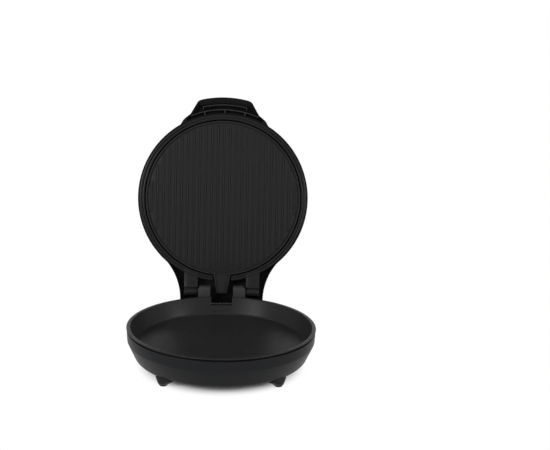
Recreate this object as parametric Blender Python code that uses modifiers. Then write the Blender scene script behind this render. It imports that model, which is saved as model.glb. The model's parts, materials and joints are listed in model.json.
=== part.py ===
"""Electric pizza maker: a deep round pan in a housing, and a hinged lid with a ribbed plate.

Metres, +Z up, front towards -Y. The lid stands open on its rear hinge, which is how it rests.
The origin is on the table, under the middle of the open object's box.
"""

import math

import bmesh
import bpy
from mathutils import Matrix, Vector

# Round body, which the housing, the pan and the lid follow
BODY_RADIUS = 0.165
RIM_HEIGHT = 0.070            # the pan's rim above the table
GAP = 0.0003                  # between pieces that touch
CUT = 0.004                   # how far every cutter overruns what it cuts
TURN_STEPS = 64

# Housing
HOUSING_INSET = 0.0007        # its top inside the pan's flange
HOUSING_WALL = 0.0025
HOUSING_DROP = 0.0031         # housing's top below the pan's rim
BAND_HEIGHT = 0.0195          # upright upper band
BAND_DRAFT = 0.0008
HOUSING_TAPER = 0.0163        # from its top in to its bottom
TAPER_CORNER = 0.013
FOOT_HEIGHT = 0.013           # underside of the housing above the table
LEDGE_THICKNESS = 0.0025
LEDGE_WIDTH = 0.017
COVER_THICKNESS = 0.0025
COVER_LIP = 0.011             # from the taper's corner in to the cover
HEATER_SPACE = 0.0177         # between the ledge and the pan's underside

# Hinge bracket behind the housing
HINGE_STAND = 0.019           # hinge axis behind the round body
HINGE_RISE = 0.002            # hinge axis above the pan's rim
BRACKET_HALF_WIDTH = 0.076
BRACKET_OVERLAP = 0.0017      # its front corners inside the ledge
BRACKET_OVERHANG = 0.016      # bracket's back edge behind the hinge axis
BRACKET_CORNER = 0.012
DECK_DROP = 0.0225            # deck's top below the hinge axis
POST_INNER = 0.0222           # the post's two sides, from the middle
POST_OUTER = 0.0458
POST_FRONT = 0.0095           # in front of the hinge axis
POST_BACK = 0.0065            # behind the hinge axis
POST_RISE = 0.0150            # above the hinge axis
POST_CORNER = 0.003
POST_SLOT_MARGIN = 0.0012     # of the slots in the neck's end that pass the posts
POST_SLOT_RISE = 0.0120       # how far the slots reach above the hinge axis
PIN_RADIUS = 0.0025
PIN_CLEARANCE = 0.00008       # a running fit
PIN_SIDES = 20
PIN_END_COVER = 0.002         # plastic left over each end of a pin

# Baking pan
PAN_FLANGE_WIDTH = 0.0066     # on top of the rim, out to the body's radius
PAN_WALL = 0.0025
PAN_FLANGE_THICKNESS = 0.0015
PAN_FLOOR = 0.004
PAN_TAPER = 0.0119            # from its rim in to its floor
PAN_FILLET = 0.004
PAN_LIP = 0.0006
NOTCH_HALF_WIDTH = 0.0200
NOTCH_DEPTH = 0.0145
PAN_BOSS_RADIUS = 0.005
PAN_BOSS_INSET = 0.0265       # from the floor's edge
PAN_BOSS_COUNT = 3

# Feet
FRONT_FOOT_ANGLE = 42.69      # degrees from the front
FRONT_FOOT_INSET = 0.0079     # from the taper's corner
REAR_FOOT_INSET = 0.018       # from the bracket's side
REAR_FOOT_ADVANCE = 0.016     # in front of the hinge axis
FOOT_TIP_RADIUS = 0.0090
FOOT_ANKLE_HEIGHT = 0.0070
FOOT_ANKLE_RADIUS = 0.0105
FOOT_ANKLE_LENGTH = 0.0130    # half length along the housing's edge
FOOT_ANKLE_SHIFT = 0.0030     # towards the front's middle
FOOT_FAIRING_LENGTH = 0.024
FOOT_FAIRING_SHIFT = 0.012
FOOT_FAIRING_WIDTH = 0.0105
FOOT_ROOT_HEIGHT = 0.019
FOOT_ROOT_WIDTH = 0.0085
FOOT_TOP_HEIGHT = 0.025
FOOT_TOP_WIDTH = 0.0058
REAR_FOOT_ROOT = 0.0125
FOOT_SIDES = 16
PAD_RADIUS = 0.0075
PAD_THICKNESS = 0.0020

# Lid
LID_WALL = 0.0022
LID_CLEARANCE = 0.0008        # ring's face above the pan's rim when the lid is shut
LID_BAND_HEIGHT = 0.020
LID_BAND_DRAFT = 0.0012
LID_SHOULDER_INSET = 0.022
LID_SHOULDER_HEIGHT = 0.036
LID_CROWN_HEIGHT = 0.041
LID_CORNER = 0.008
CROWN_SHARES = (0, 0.5, 0.8)  # of the crown's radius, where its profile has points
OPEN_ANGLE = 102.0            # degrees

# Neck that carries the lid on the hinge
NECK_HALF_WIDTH = 0.0803
NECK_FLANK_RADIUS = 0.114
NECK_END_RADIUS = 0.021       # its round end about the hinge axis
NECK_RUN = 0.078              # how far it reaches into the round lid
NECK_ROOT_HALF_WIDTH = 0.090  # inside the round lid
NECK_FLANK_TURN = 44.0        # degrees of the flank's arc
NECK_TOP_SLOPE = 0.007        # rise of its top over that run
FLANK_TOP = 0.015             # where the flanks turn straight, behind the hinge axis

# Ring and knuckles under the lid
RING_WIDTH = 0.0125
RING_HEIGHT = 0.0075
RING_EDGE = 0.0008
GROOVE_START = 0.0035         # from the ring's inner edge
GROOVE_WIDTH = 0.0022
GROOVE_DEPTH = 0.0012
KNUCKLE_INNER = 0.0472
KNUCKLE_OUTER = 0.0730
KNUCKLE_HEIGHT = 0.0095
KNUCKLE_LEDGE = 0.0082        # where the flat face stops, in front of the hinge axis
BARREL_RADIUS = 0.0065

# Ribbed plate
PLATE_CLEARANCE = 0.0022      # inside the ring
PLATE_RECESS = 0.0004         # plate's rim above the ring's face
PLATE_RIM_WIDTH = 0.0030
PLATE_RIM_RISE = 0.0015
PLATE_THICKNESS = 0.0035
PLATE_EDGE = 0.0006
RIB_PITCH = 0.0116
RIB_WIDTH = 0.0024
RIB_TOP_WIDTH = 0.0010
RIB_HEIGHT = 0.0013
RIB_INSET = 0.0078            # of the circle on which the ribs end
TAB_ROOT_HALF_WIDTH = 0.0165
TAB_TIP_HALF_WIDTH = 0.0099
TAB_OVERRUN = 0.0016          # tab's tip behind the hinge axis
TAB_FLANGE = 0.0017
TAB_FLANGE_HEIGHT = 0.0026
TAB_SIDE_CLEARANCE = 0.0012
PLATE_BOSS_RADIUS = 0.005
PLATE_BOSS_INSET = 0.0453     # from the plate's edge
PLATE_BOSS_COUNT = 3
SHELL_PILLAR_INSET = 0.020    # from the bosses in to the lid's pillars, which hold the heat shield down

# Handle on the lid's front
HANDLE_OVERHANG = 0.0313      # the grip's outer edge outside the round body
HANDLE_ROOT_ANGLE = 37.0      # degrees, half of the root's span inside the lid's wall
HANDLE_ROOT_DEPTH = 0.0080
HANDLE_SHOULDER_ANGLE = 27.8
HANDLE_SHOULDER_STAND = 0.0060
HANDLE_WAIST_X = 0.0665
HANDLE_WAIST_STAND = 0.0103   # outside the round body, as the next stands are
HANDLE_CORNER_X = 0.0515
HANDLE_CORNER_STAND = 0.0304
HANDLE_CORNER = 0.009
HANDLE_TOP_HEIGHT = 0.0195    # above the ring's face, at the lid's wall
HANDLE_FRONT_DROP = 0.0050    # how much lower the grip's front is
HANDLE_FRONT_CORNER = 0.006
HANDLE_EDGE_CORNER = 0.0015
HANDLE_EDGE_RISE = 0.0006     # grip's lower edge above the ring's face
HANDLE_SKIN = 0.0025
GRIP_ARC_SHARE = 0.8          # of the grip's outer edge, which is an arc between its corners
POCKET_STAND = 0.0186
POCKET_SHOULDER_STAND = 0.0066
POCKET_CORNER_X = 0.0440
POCKET_CORNER = 0.004
POCKET_WAIST_X = 0.0555
POCKET_WAIST_STAND = 0.00956
POCKET_ROOT_ANGLE = 25.5
POCKET_BEVEL_DEPTH = 0.0055
POCKET_BEVEL_LIP = 0.0013
GRIP_WALL = 0.0016
GRIP_NEAR_STAND = 0.0066      # of the wall nearer the lid
GRIP_NEAR_ANGLE = 22.5        # degrees, half of that wall's span
GRIP_FAR_STAND = 0.0154
GRIP_FAR_HALF_WIDTH = 0.0430
GRIP_FLOOR = 0.0016
GRIP_SET_BACK = 0.0010        # wall edges above the ring's face
GRIP_RIB = 0.0018
GRIP_RIB_ANGLE = 13.4
GRIP_SCREW_X = 0.022
GRIP_SCREW_STAND = 0.0118

# Heating elements, one under the pan and one on the ribbed plate
ELEMENT_RADIUS = 0.00325      # of the tube
ELEMENT_INSET = 0.028         # from the pan's bosses in to the ring of tube
ELEMENT_OPENING = 50.0        # degrees left open at the back
ELEMENT_TAIL = 0.022
CLAMP_THICKNESS = 0.0012
CLAMP_HALF_WIDTH = 0.014
SHIELD_THICKNESS = 0.0010
SHIELD_HOLE_RADIUS = 0.012
LOWER_SHIELD_INSET = 0.0105   # from the taper's corner
UPPER_SHIELD_INSET = 0.0043   # from the ribbed plate's edge
UPPER_SHIELD_STAND = 0.0140   # above the ribbed plate's back
THERMOSTAT_RADIUS = 0.0085
THERMOSTAT_HEIGHT = 0.010
THERMOSTAT_OFFSET = 0.030
FUSE_RADIUS = 0.0022
FUSE_LENGTH = 0.016

# Wiring parts in the bracket
TERMINAL_LENGTH = 0.034
TERMINAL_WIDTH = 0.016
TERMINAL_HEIGHT = 0.014
TERMINAL_STEP = 0.004
TERMINAL_X = 0.012
TERMINAL_ADVANCE = 0.018      # in front of the hinge axis
GLAND_INSET = 0.023           # from the bracket's left side
GLAND_RADIUS = 0.0068
GLAND_FLANGE_RADIUS = 0.0100
GLAND_FLANGE = 0.0025
GLAND_BORE_RADIUS = 0.0036
GLAND_BORE_DEPTH = 0.010
GLAND_LENGTH = 0.014

# Screws
SCREW_RADIUS = 0.0015
SCREW_HEAD_RADIUS = 0.0034
SCREW_HEAD_HEIGHT = 0.0018
SCREW_HOLE_CLEARANCE = 0.0003
COVER_SCREW_FRONT_X = 0.060
COVER_SCREW_SIDE_INSET = 0.040  # of the rear pair from the bracket's sides
COVER_SCREW_SETTING = 0.021   # of the front pair from the taper's corner
COVER_SCREW_INSET = 0.011     # of the rear pair from the bracket's back edge
COVER_BOSS_RADIUS = 0.0055

# Indicator lamps on the lid's crown
LENS_RADIUS = 0.0040
LENS_FLANGE_RADIUS = 0.0058
LENS_FLANGE = 0.0015
LENS_PROUD = 0.0010
LENS_SPACING = 0.022
LENS_INSET = 0.025            # from the crown's edge
HOLDER_THICKNESS = 0.003
HOLDER_MARGIN = 0.005

# Vents in the bottom cover
VENT_COUNT = 10
VENT_HALF_WIDTH = 0.0016
VENT_INNER = 0.040
VENT_OUTER = 0.062

# Radii and reaches worked out from the sizes above
HOUSING_RADIUS = BODY_RADIUS - HOUSING_INSET
TAPER_BOTTOM_RADIUS = HOUSING_RADIUS - HOUSING_TAPER
COVER_SEAT_RADIUS = TAPER_BOTTOM_RADIUS - COVER_LIP
COVER_SCREW_CIRCLE = TAPER_BOTTOM_RADIUS - COVER_SCREW_SETTING
FRONT_FOOT_CIRCLE = TAPER_BOTTOM_RADIUS - FRONT_FOOT_INSET
HINGE_REACH = BODY_RADIUS + HINGE_STAND
LEDGE_RADIUS = TAPER_BOTTOM_RADIUS - LEDGE_WIDTH
BRACKET_START = math.sqrt(LEDGE_RADIUS ** 2 - BRACKET_HALF_WIDTH ** 2) - BRACKET_OVERLAP
BRACKET_BACK = HINGE_REACH + BRACKET_OVERHANG
GLAND_X = GLAND_INSET - BRACKET_HALF_WIDTH
REAR_FOOT_X = BRACKET_HALF_WIDTH - REAR_FOOT_INSET
COVER_SCREW_REAR_X = BRACKET_HALF_WIDTH - COVER_SCREW_SIDE_INSET
PAN_RADIUS = BODY_RADIUS - PAN_FLANGE_WIDTH
PAN_FLOOR_RADIUS = PAN_RADIUS - PAN_TAPER
PAN_BOSS_CIRCLE = PAN_FLOOR_RADIUS - PAN_BOSS_INSET
ELEMENT_CIRCLE = PAN_BOSS_CIRCLE - ELEMENT_INSET
CLAMP_INNER = ELEMENT_CIRCLE - CLAMP_HALF_WIDTH
LID_SHOULDER_RADIUS = BODY_RADIUS - LID_SHOULDER_INSET
LENS_FORWARD = LID_SHOULDER_RADIUS - LENS_INSET
FRAME_RADIUS = BODY_RADIUS - LID_WALL - GAP
RING_INNER_RADIUS = BODY_RADIUS - RING_WIDTH
GROOVE_INNER_RADIUS = RING_INNER_RADIUS + GROOVE_START
PLATE_RADIUS = RING_INNER_RADIUS - PLATE_CLEARANCE
PLATE_BOSS_CIRCLE = PLATE_RADIUS - PLATE_BOSS_INSET
SHELL_PILLAR_CIRCLE = PLATE_BOSS_CIRCLE - SHELL_PILLAR_INSET
RIB_END_RADIUS = PLATE_RADIUS - RIB_INSET
RIB_SIDE_COUNT = int(RIB_END_RADIUS / RIB_PITCH)  # ribs on each side of the middle one
HANDLE_REACH = BODY_RADIUS + HANDLE_OVERHANG
HANDLE_SHOULDER_RADIUS = BODY_RADIUS + HANDLE_SHOULDER_STAND
POCKET_RADIUS = BODY_RADIUS + POCKET_STAND
POCKET_SHOULDER_RADIUS = BODY_RADIUS + POCKET_SHOULDER_STAND
GRIP_NEAR_ARC = BODY_RADIUS + GRIP_NEAR_STAND
GRIP_FAR_ARC = BODY_RADIUS + GRIP_FAR_STAND

# Heights worked out from the sizes above
HOUSING_TOP = RIM_HEIGHT - HOUSING_DROP
BAND_BOTTOM = HOUSING_TOP - BAND_HEIGHT
AXIS_HEIGHT = RIM_HEIGHT + HINGE_RISE
DECK_TOP = AXIS_HEIGHT - DECK_DROP
GLAND_HEIGHT = (FOOT_HEIGHT + DECK_TOP) / 2
COVER_TOP = FOOT_HEIGHT + COVER_THICKNESS
LEDGE_BOTTOM = COVER_TOP + GAP
LEDGE_TOP = LEDGE_BOTTOM + LEDGE_THICKNESS
PAN_UNDERSIDE = LEDGE_TOP + HEATER_SPACE
PAN_FLOOR_TOP = PAN_UNDERSIDE + PAN_FLOOR

# Heights of the lid, from the hinge axis, with the lid shut
RING_FACE = LID_CLEARANCE - HINGE_RISE
LID_BAND_TOP = RING_FACE + LID_BAND_HEIGHT
LID_SHOULDER = RING_FACE + LID_SHOULDER_HEIGHT
LID_CROWN = RING_FACE + LID_CROWN_HEIGHT
PLATE_RIM_FACE = RING_FACE + PLATE_RECESS
PLATE_FACE = PLATE_RIM_FACE + PLATE_RIM_RISE
PLATE_BACK = PLATE_FACE + PLATE_THICKNESS
SHIELD_BOTTOM = PLATE_BACK + UPPER_SHIELD_STAND


# Scene, materials and objects

def clear_scene():
    for old in list(bpy.data.objects):
        bpy.data.objects.remove(old, do_unlink=True)


def new_collection(name):
    collection = bpy.data.collections.new(name)
    bpy.context.scene.collection.children.link(collection)
    return collection


def new_material(name, colour, roughness, metallic=0.0):
    made = bpy.data.materials.new(name)
    made.use_nodes = True
    shader = made.node_tree.nodes["Principled BSDF"]
    shader.inputs["Base Color"].default_value = (*colour, 1.0)
    shader.inputs["Roughness"].default_value = roughness
    shader.inputs["Metallic"].default_value = metallic
    return made


def empty_at(name, place, parent=None):
    made = bpy.data.objects.new(name, None)
    PARTS.objects.link(made)
    made.parent = parent
    made.location = place
    return made


def keep(name, mesh, parent, place=(0, 0, 0), material=None):
    """A sub-part with a material, or a cutter where there is none."""
    made = bpy.data.objects.new(name, mesh)
    made.parent = parent
    made.location = place
    if material is None:
        CUTTERS.objects.link(made)
        made.hide_render = True
        made.display_type = "WIRE"
    else:
        PARTS.objects.link(made)
        mesh.materials.append(material)
        mesh.shade_smooth()
        mesh.set_sharp_from_angle(angle=math.radians(30))
    return made


def combine(target, other, operation):
    step = target.modifiers.new(f"{operation.lower()}_{other.name}", "BOOLEAN")
    step.operation = operation
    step.object = other
    step.solver = "EXACT"


# Outlines and meshes

def arc(centre_x, centre_y, radius, start, end, steps):
    """Points on a circle from one angle in degrees to another."""
    turns = [math.radians(start + (end - start) * i / steps) for i in range(steps + 1)]
    return [(centre_x + radius * math.cos(t), centre_y + radius * math.sin(t)) for t in turns]


def circle(radius):
    return arc(0, 0, radius, 0, 360, TURN_STEPS)[:-1]


def on_circle(radius, degrees):
    """The point at an angle from the front, to the right where it is positive."""
    turn = math.radians(degrees)
    return radius * math.sin(turn), -radius * math.cos(turn)


def rounded(corners, steps=3):
    """A closed outline of (x, y, fillet radius) corners, with arcs in place of corners."""
    outline = []
    for i, (x, y, radius) in enumerate(corners):
        here = Vector((x, y))
        if not radius:
            outline.append((x, y))
            continue
        before = (Vector(corners[i - 1][:2]) - here).normalized()
        after = (Vector(corners[(i + 1) % len(corners)][:2]) - here).normalized()
        half = before.angle(after) / 2
        centre = here + (before + after).normalized() * (radius / math.sin(half))
        start = here + before * (radius / math.tan(half)) - centre
        end = here + after * (radius / math.tan(half)) - centre
        sweep = start.angle_signed(end)
        for k in range(steps + 1):
            turn = Matrix.Rotation(-sweep * k / steps, 2)
            outline.append(tuple(centre + turn @ start))
    return outline


def turned(name, profile, parent, place=(0, 0, 0), material=None, ring=True, steps=TURN_STEPS):
    """A profile of (radius, height) turned about Z. It runs down its outer side."""
    mesh = bpy.data.meshes.new(name)
    shape = bmesh.new()
    points = [shape.verts.new((radius, 0, height)) for radius, height in profile]
    for first, second in zip(points, points[1:]):
        shape.edges.new((first, second))
    if ring:
        shape.edges.new((points[-1], points[0]))
    shape.to_mesh(mesh)
    shape.free()
    made = keep(name, mesh, parent, place, material)
    spin = made.modifiers.new("turn", "SCREW")
    spin.steps = steps
    spin.render_steps = steps
    spin.use_merge_vertices = True
    spin.merge_threshold = 0.00001
    return made


def mesh_of(curve):
    """A curve's surface as a mesh with its seams welded, in place of the curve."""
    shown = bpy.data.objects.new(curve.name, curve)
    CUTTERS.objects.link(shown)
    bpy.context.view_layer.update()
    seen = shown.evaluated_get(bpy.context.evaluated_depsgraph_get())
    mesh = bpy.data.meshes.new_from_object(seen)
    bpy.data.objects.remove(shown, do_unlink=True)
    bpy.data.curves.remove(curve)
    shape = bmesh.new()
    shape.from_mesh(mesh)
    bmesh.ops.remove_doubles(shape, verts=shape.verts, dist=0.000001)
    bmesh.ops.recalc_face_normals(shape, faces=shape.faces)
    shape.to_mesh(mesh)
    shape.free()
    return mesh


def slab(name, outline, bottom, top, parent, place=(0, 0, 0), material=None, along_x=False):
    """A flat outline with thickness: in plan, or in (y, z) and running along X."""
    curve = bpy.data.curves.new(name, "CURVE")
    curve.dimensions = "2D"
    curve.fill_mode = "BOTH"
    curve.extrude = (top - bottom) / 2
    line = curve.splines.new("POLY")
    line.points.add(len(outline) - 1)
    for point, (x, y) in zip(line.points, outline):
        point.co = (x, y, 0, 1)
    line.use_cyclic_u = True
    mesh = mesh_of(curve)
    mesh.transform(Matrix.Translation((0, 0, (top + bottom) / 2)))
    if along_x:
        mesh.transform(Matrix(((0, 0, 1), (1, 0, 0), (0, 1, 0))).to_4x4())
    return keep(name, mesh, parent, place, material)


def loft(name, levels, parent, place=(0, 0, 0), material=None):
    """A solid through (outline, height) levels whose outlines have as many points each."""
    mesh = bpy.data.meshes.new(name)
    shape = bmesh.new()
    first, height = levels[0]
    foot = [shape.verts.new((x, y, height)) for x, y in first]
    end = shape.faces.new(foot)
    for outline, height in levels[1:]:
        end = bmesh.ops.extrude_discrete_faces(shape, faces=[end])["faces"][0]
        for corner, (x, y) in zip(end.verts, outline):
            corner.co = (x, y, height)
    shape.faces.new(reversed(foot))
    bmesh.ops.recalc_face_normals(shape, faces=shape.faces)
    shape.to_mesh(mesh)
    shape.free()
    return keep(name, mesh, parent, place, material)


def rod(name, radius, bottom, top, parent, place=(0, 0, 0), material=None, sides=16, top_radius=None):
    """An upright cylinder or cone."""
    mesh = bpy.data.meshes.new(name)
    shape = bmesh.new()
    bmesh.ops.create_cone(shape, cap_ends=True, segments=sides, radius1=radius,
                          radius2=radius if top_radius is None else top_radius, depth=top - bottom)
    bmesh.ops.translate(shape, verts=shape.verts, vec=(0, 0, (top + bottom) / 2))
    shape.to_mesh(mesh)
    shape.free()
    return keep(name, mesh, parent, place, material)


def lie_along(made, axis):
    """Turns an upright mesh so that its height runs along X or Y."""
    turn = Matrix.Rotation(math.radians(90), 4, "Y" if axis == "X" else "X")
    made.data.transform(turn)


def block(name, low, high, parent, place=(0, 0, 0), material=None):
    """A box between two corners."""
    mesh = bpy.data.meshes.new(name)
    shape = bmesh.new()
    bmesh.ops.create_cube(shape, size=1)
    size = Vector(high) - Vector(low)
    bmesh.ops.scale(shape, verts=shape.verts, vec=size)
    bmesh.ops.translate(shape, verts=shape.verts, vec=Vector(low) + size / 2)
    shape.to_mesh(mesh)
    shape.free()
    return keep(name, mesh, parent, place, material)


def both_sides(name, low, high, parent, place=(0, 0, 0)):
    """The same box on the right and, mirrored, on the left."""
    right = block(f"{name}_right", low, high, parent, place)
    left = block(f"{name}_left", (-high[0], low[1], low[2]), (-low[0], high[1], high[2]), parent, place)
    return right, left


# Base: housing, cover and feet

def taper_radius(height):
    """Outside of the housing's taper at a height above the table."""
    share = (height - FOOT_HEIGHT) / (BAND_BOTTOM - FOOT_HEIGHT)
    return TAPER_BOTTOM_RADIUS + share * (HOUSING_RADIUS - BAND_DRAFT - TAPER_BOTTOM_RADIUS)


def along_slope(thickness):
    """How far sideways a thickness reaches in the housing's taper."""
    rise = BAND_BOTTOM - FOOT_HEIGHT
    return thickness * math.hypot(taper_radius(BAND_BOTTOM) - TAPER_BOTTOM_RADIUS, rise) / rise


def bracket_outline(inset):
    half = BRACKET_HALF_WIDTH - inset
    back = BRACKET_BACK - inset
    corner = BRACKET_CORNER - inset
    return rounded([(-half, BRACKET_START, 0), (half, BRACKET_START, 0),
                    (half, back, corner), (-half, back, corner)])


def cover_screw_places():
    front = math.sqrt(COVER_SCREW_CIRCLE ** 2 - COVER_SCREW_FRONT_X ** 2)
    rear = BRACKET_BACK - COVER_SCREW_INSET
    places = []
    for side in (-1, 1):
        places.append((side * COVER_SCREW_FRONT_X, -front, 0))
        places.append((side * COVER_SCREW_REAR_X, rear, 0))
    return places


def post_outline():
    """The hinge post from the side, about the hinge axis."""
    foot = -DECK_DROP - HOUSING_WALL / 2
    return rounded([(-POST_FRONT, foot, 0), (POST_BACK, foot, 0),
                    (POST_BACK, POST_RISE, POST_CORNER), (-POST_FRONT, POST_RISE, POST_CORNER)])


def make_base_housing(root, axis, plastic):
    slant = along_slope(HOUSING_WALL)
    inner_rim = HOUSING_RADIUS - HOUSING_WALL
    housing = turned("base_housing", rounded([
        (0, HOUSING_TOP, 0),
        (HOUSING_RADIUS, HOUSING_TOP, HOUSING_WALL / 3),
        (taper_radius(BAND_BOTTOM), BAND_BOTTOM, 0),
        (TAPER_BOTTOM_RADIUS, FOOT_HEIGHT, TAPER_CORNER),
        (0, FOOT_HEIGHT, 0),
    ]), root, material=plastic, ring=False)
    bracket = slab("bracket_form", bracket_outline(0), FOOT_HEIGHT, DECK_TOP, root)
    combine(housing, bracket, "UNION")
    cavity = turned("housing_cavity", [
        (0, HOUSING_TOP + CUT), (inner_rim, HOUSING_TOP + CUT),
        (taper_radius(BAND_BOTTOM) - slant, BAND_BOTTOM), (taper_radius(LEDGE_TOP) - slant, LEDGE_TOP),
        (LEDGE_RADIUS, LEDGE_TOP), (LEDGE_RADIUS, LEDGE_BOTTOM), (COVER_SEAT_RADIUS, LEDGE_BOTTOM),
        (COVER_SEAT_RADIUS, FOOT_HEIGHT - CUT), (0, FOOT_HEIGHT - CUT),
    ], root, ring=False)
    hollow = slab("bracket_hollow", bracket_outline(HOUSING_WALL), FOOT_HEIGHT - CUT / 2,
                  DECK_TOP - HOUSING_WALL, root)
    combine(cavity, hollow, "UNION")
    cavity.rotation_euler.z = math.pi / TURN_STEPS  # half a facet, so that no two edges meet
    combine(housing, cavity, "DIFFERENCE")

    for side, name in ((-1, "left"), (1, "right")):
        near, far = sorted((side * POST_INNER, side * POST_OUTER))
        post = slab(f"post_form_{name}", post_outline(), near, far, axis, along_x=True)
        near, far = sorted((side * (POST_INNER + PIN_END_COVER), side * (POST_OUTER + CUT)))
        bore = rod(f"post_bore_{name}", PIN_RADIUS + PIN_CLEARANCE, near, far, axis, sides=PIN_SIDES)
        lie_along(bore, "X")
        combine(post, bore, "DIFFERENCE")
        combine(housing, post, "UNION")

    for place in cover_screw_places():
        rear = place[1] > 0
        top = DECK_TOP - HOUSING_WALL / 2 if rear else LEDGE_TOP - GAP
        boss = rod("cover_boss", COVER_BOSS_RADIUS, LEDGE_BOTTOM + GAP, top, root, place)
        combine(housing, boss, "UNION")
        hole = rod("cover_boss_hole", SCREW_RADIUS + SCREW_HOLE_CLEARANCE,
                   FOOT_HEIGHT - CUT, LEDGE_TOP + GAP, root, place)
        combine(housing, hole, "DIFFERENCE")

    notch_half = NOTCH_HALF_WIDTH + GAP
    notch = block("housing_notch", (-notch_half, HOUSING_RADIUS - 2 * HOUSING_WALL, RIM_HEIGHT - NOTCH_DEPTH),
                  (notch_half, HOUSING_RADIUS + CUT, RIM_HEIGHT), root)
    combine(housing, notch, "DIFFERENCE")
    gland_hole = rod("gland_hole", GLAND_RADIUS + GAP, -HOUSING_WALL - CUT, CUT, root,
                     (GLAND_X, BRACKET_BACK, GLAND_HEIGHT))
    lie_along(gland_hole, "Y")
    combine(housing, gland_hole, "DIFFERENCE")


def keyhole_outline(radius, inset):
    """The base from below: a circle with the bracket behind it."""
    half = BRACKET_HALF_WIDTH - inset
    back = BRACKET_BACK - inset
    corner = BRACKET_CORNER - inset
    meet = math.degrees(math.acos(half / radius))
    front = [(x, y, 0) for x, y in arc(0, 0, radius, meet, -180 - meet, TURN_STEPS * 3 // 4)]
    return rounded(front + [(-half, back, corner), (half, back, corner)])


def make_bottom_cover(root, plastic):
    cover = slab("bottom_cover", keyhole_outline(COVER_SEAT_RADIUS - GAP, HOUSING_WALL + GAP),
                 FOOT_HEIGHT, COVER_TOP, root, material=plastic)
    for place in cover_screw_places():
        hole = rod("cover_hole", SCREW_RADIUS + SCREW_HOLE_CLEARANCE,
                   FOOT_HEIGHT - CUT, COVER_TOP + CUT, root, place, sides=12)
        combine(cover, hole, "DIFFERENCE")
    for i in range(VENT_COUNT):
        vent = block("vent", (VENT_INNER, -VENT_HALF_WIDTH, FOOT_HEIGHT - CUT),
                     (VENT_OUTER, VENT_HALF_WIDTH, COVER_TOP + CUT), root)
        vent.rotation_euler.z = 2 * math.pi * i / VENT_COUNT
        combine(cover, vent, "DIFFERENCE")


def make_cover_screws(root, steel):
    head_top = FOOT_HEIGHT - GAP
    for i, place in enumerate(cover_screw_places()):
        turned(f"cover_screw_{i + 1}", [
            (0, LEDGE_TOP), (SCREW_RADIUS, LEDGE_TOP), (SCREW_RADIUS, head_top),
            (SCREW_HEAD_RADIUS, head_top), (SCREW_HEAD_RADIUS, head_top - SCREW_HEAD_HEIGHT),
            (0, head_top - SCREW_HEAD_HEIGHT),
        ], root, place, steel, ring=False, steps=16)


def oval(centre_x, centre_y, along, across, turn):
    """An ellipse whose long side is turned by an angle in radians."""
    points = []
    for i in range(FOOT_SIDES):
        angle = 2 * math.pi * i / FOOT_SIDES
        spot = Matrix.Rotation(turn, 2) @ Vector((along * math.cos(angle), across * math.sin(angle)))
        points.append((centre_x + spot.x, centre_y + spot.y))
    return points


def make_front_feet(root, plastic):
    """A moulded foot on each side, with a low fairing along the housing's edge."""
    bearing = math.radians(FRONT_FOOT_ANGLE)
    middle_x, middle_y = on_circle(FRONT_FOOT_CIRCLE, FRONT_FOOT_ANGLE)
    slant = along_slope(GAP)
    envelope = turned("housing_envelope", rounded([
        (0, BAND_BOTTOM, 0),
        (taper_radius(BAND_BOTTOM) + slant, BAND_BOTTOM, 0),
        (TAPER_BOTTOM_RADIUS + slant, FOOT_HEIGHT - GAP, TAPER_CORNER),
        (0, FOOT_HEIGHT - GAP, 0),
    ]), root, ring=False)
    for side, name in ((-1, "left"), (1, "right")):
        def level(along, across, shift, height):
            centre_x = side * (middle_x - shift * math.cos(bearing))
            centre_y = middle_y - shift * math.sin(bearing)
            return oval(centre_x, centre_y, along, across, side * bearing), height
        foot = loft(f"foot_front_{name}", [
            level(FOOT_TIP_RADIUS, FOOT_TIP_RADIUS, 0, PAD_THICKNESS + GAP),
            level(FOOT_ANKLE_LENGTH, FOOT_ANKLE_RADIUS, FOOT_ANKLE_SHIFT, FOOT_ANKLE_HEIGHT),
            level(FOOT_FAIRING_LENGTH, FOOT_FAIRING_WIDTH, FOOT_FAIRING_SHIFT, FOOT_HEIGHT),
            level(FOOT_FAIRING_LENGTH, FOOT_ROOT_WIDTH, FOOT_FAIRING_SHIFT, FOOT_ROOT_HEIGHT),
            level(FOOT_FAIRING_LENGTH, FOOT_TOP_WIDTH, FOOT_FAIRING_SHIFT, FOOT_TOP_HEIGHT),
        ], root, material=plastic)
        combine(foot, envelope, "DIFFERENCE")


def make_rear_feet_and_pads(root, plastic, rubber):
    for side, name in ((-1, "left"), (1, "right")):
        rear = (side * REAR_FOOT_X, HINGE_REACH - REAR_FOOT_ADVANCE, 0)
        front = (*on_circle(FRONT_FOOT_CIRCLE, side * FRONT_FOOT_ANGLE), 0)
        rod(f"foot_rear_{name}", FOOT_TIP_RADIUS, PAD_THICKNESS + GAP, FOOT_HEIGHT - GAP, root, rear,
            plastic, sides=20, top_radius=REAR_FOOT_ROOT)
        rod(f"foot_pad_rear_{name}", PAD_RADIUS, 0, PAD_THICKNESS, root, rear, rubber)
        rod(f"foot_pad_front_{name}", PAD_RADIUS, 0, PAD_THICKNESS, root, front, rubber)


# Baking pan and what is under it

def spread(count, radius, start):
    """Places evenly round a circle, from an angle in degrees."""
    return [(*arc(0, 0, radius, start + 360 * i / count, 0, 1)[0], 0) for i in range(count)]


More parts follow.
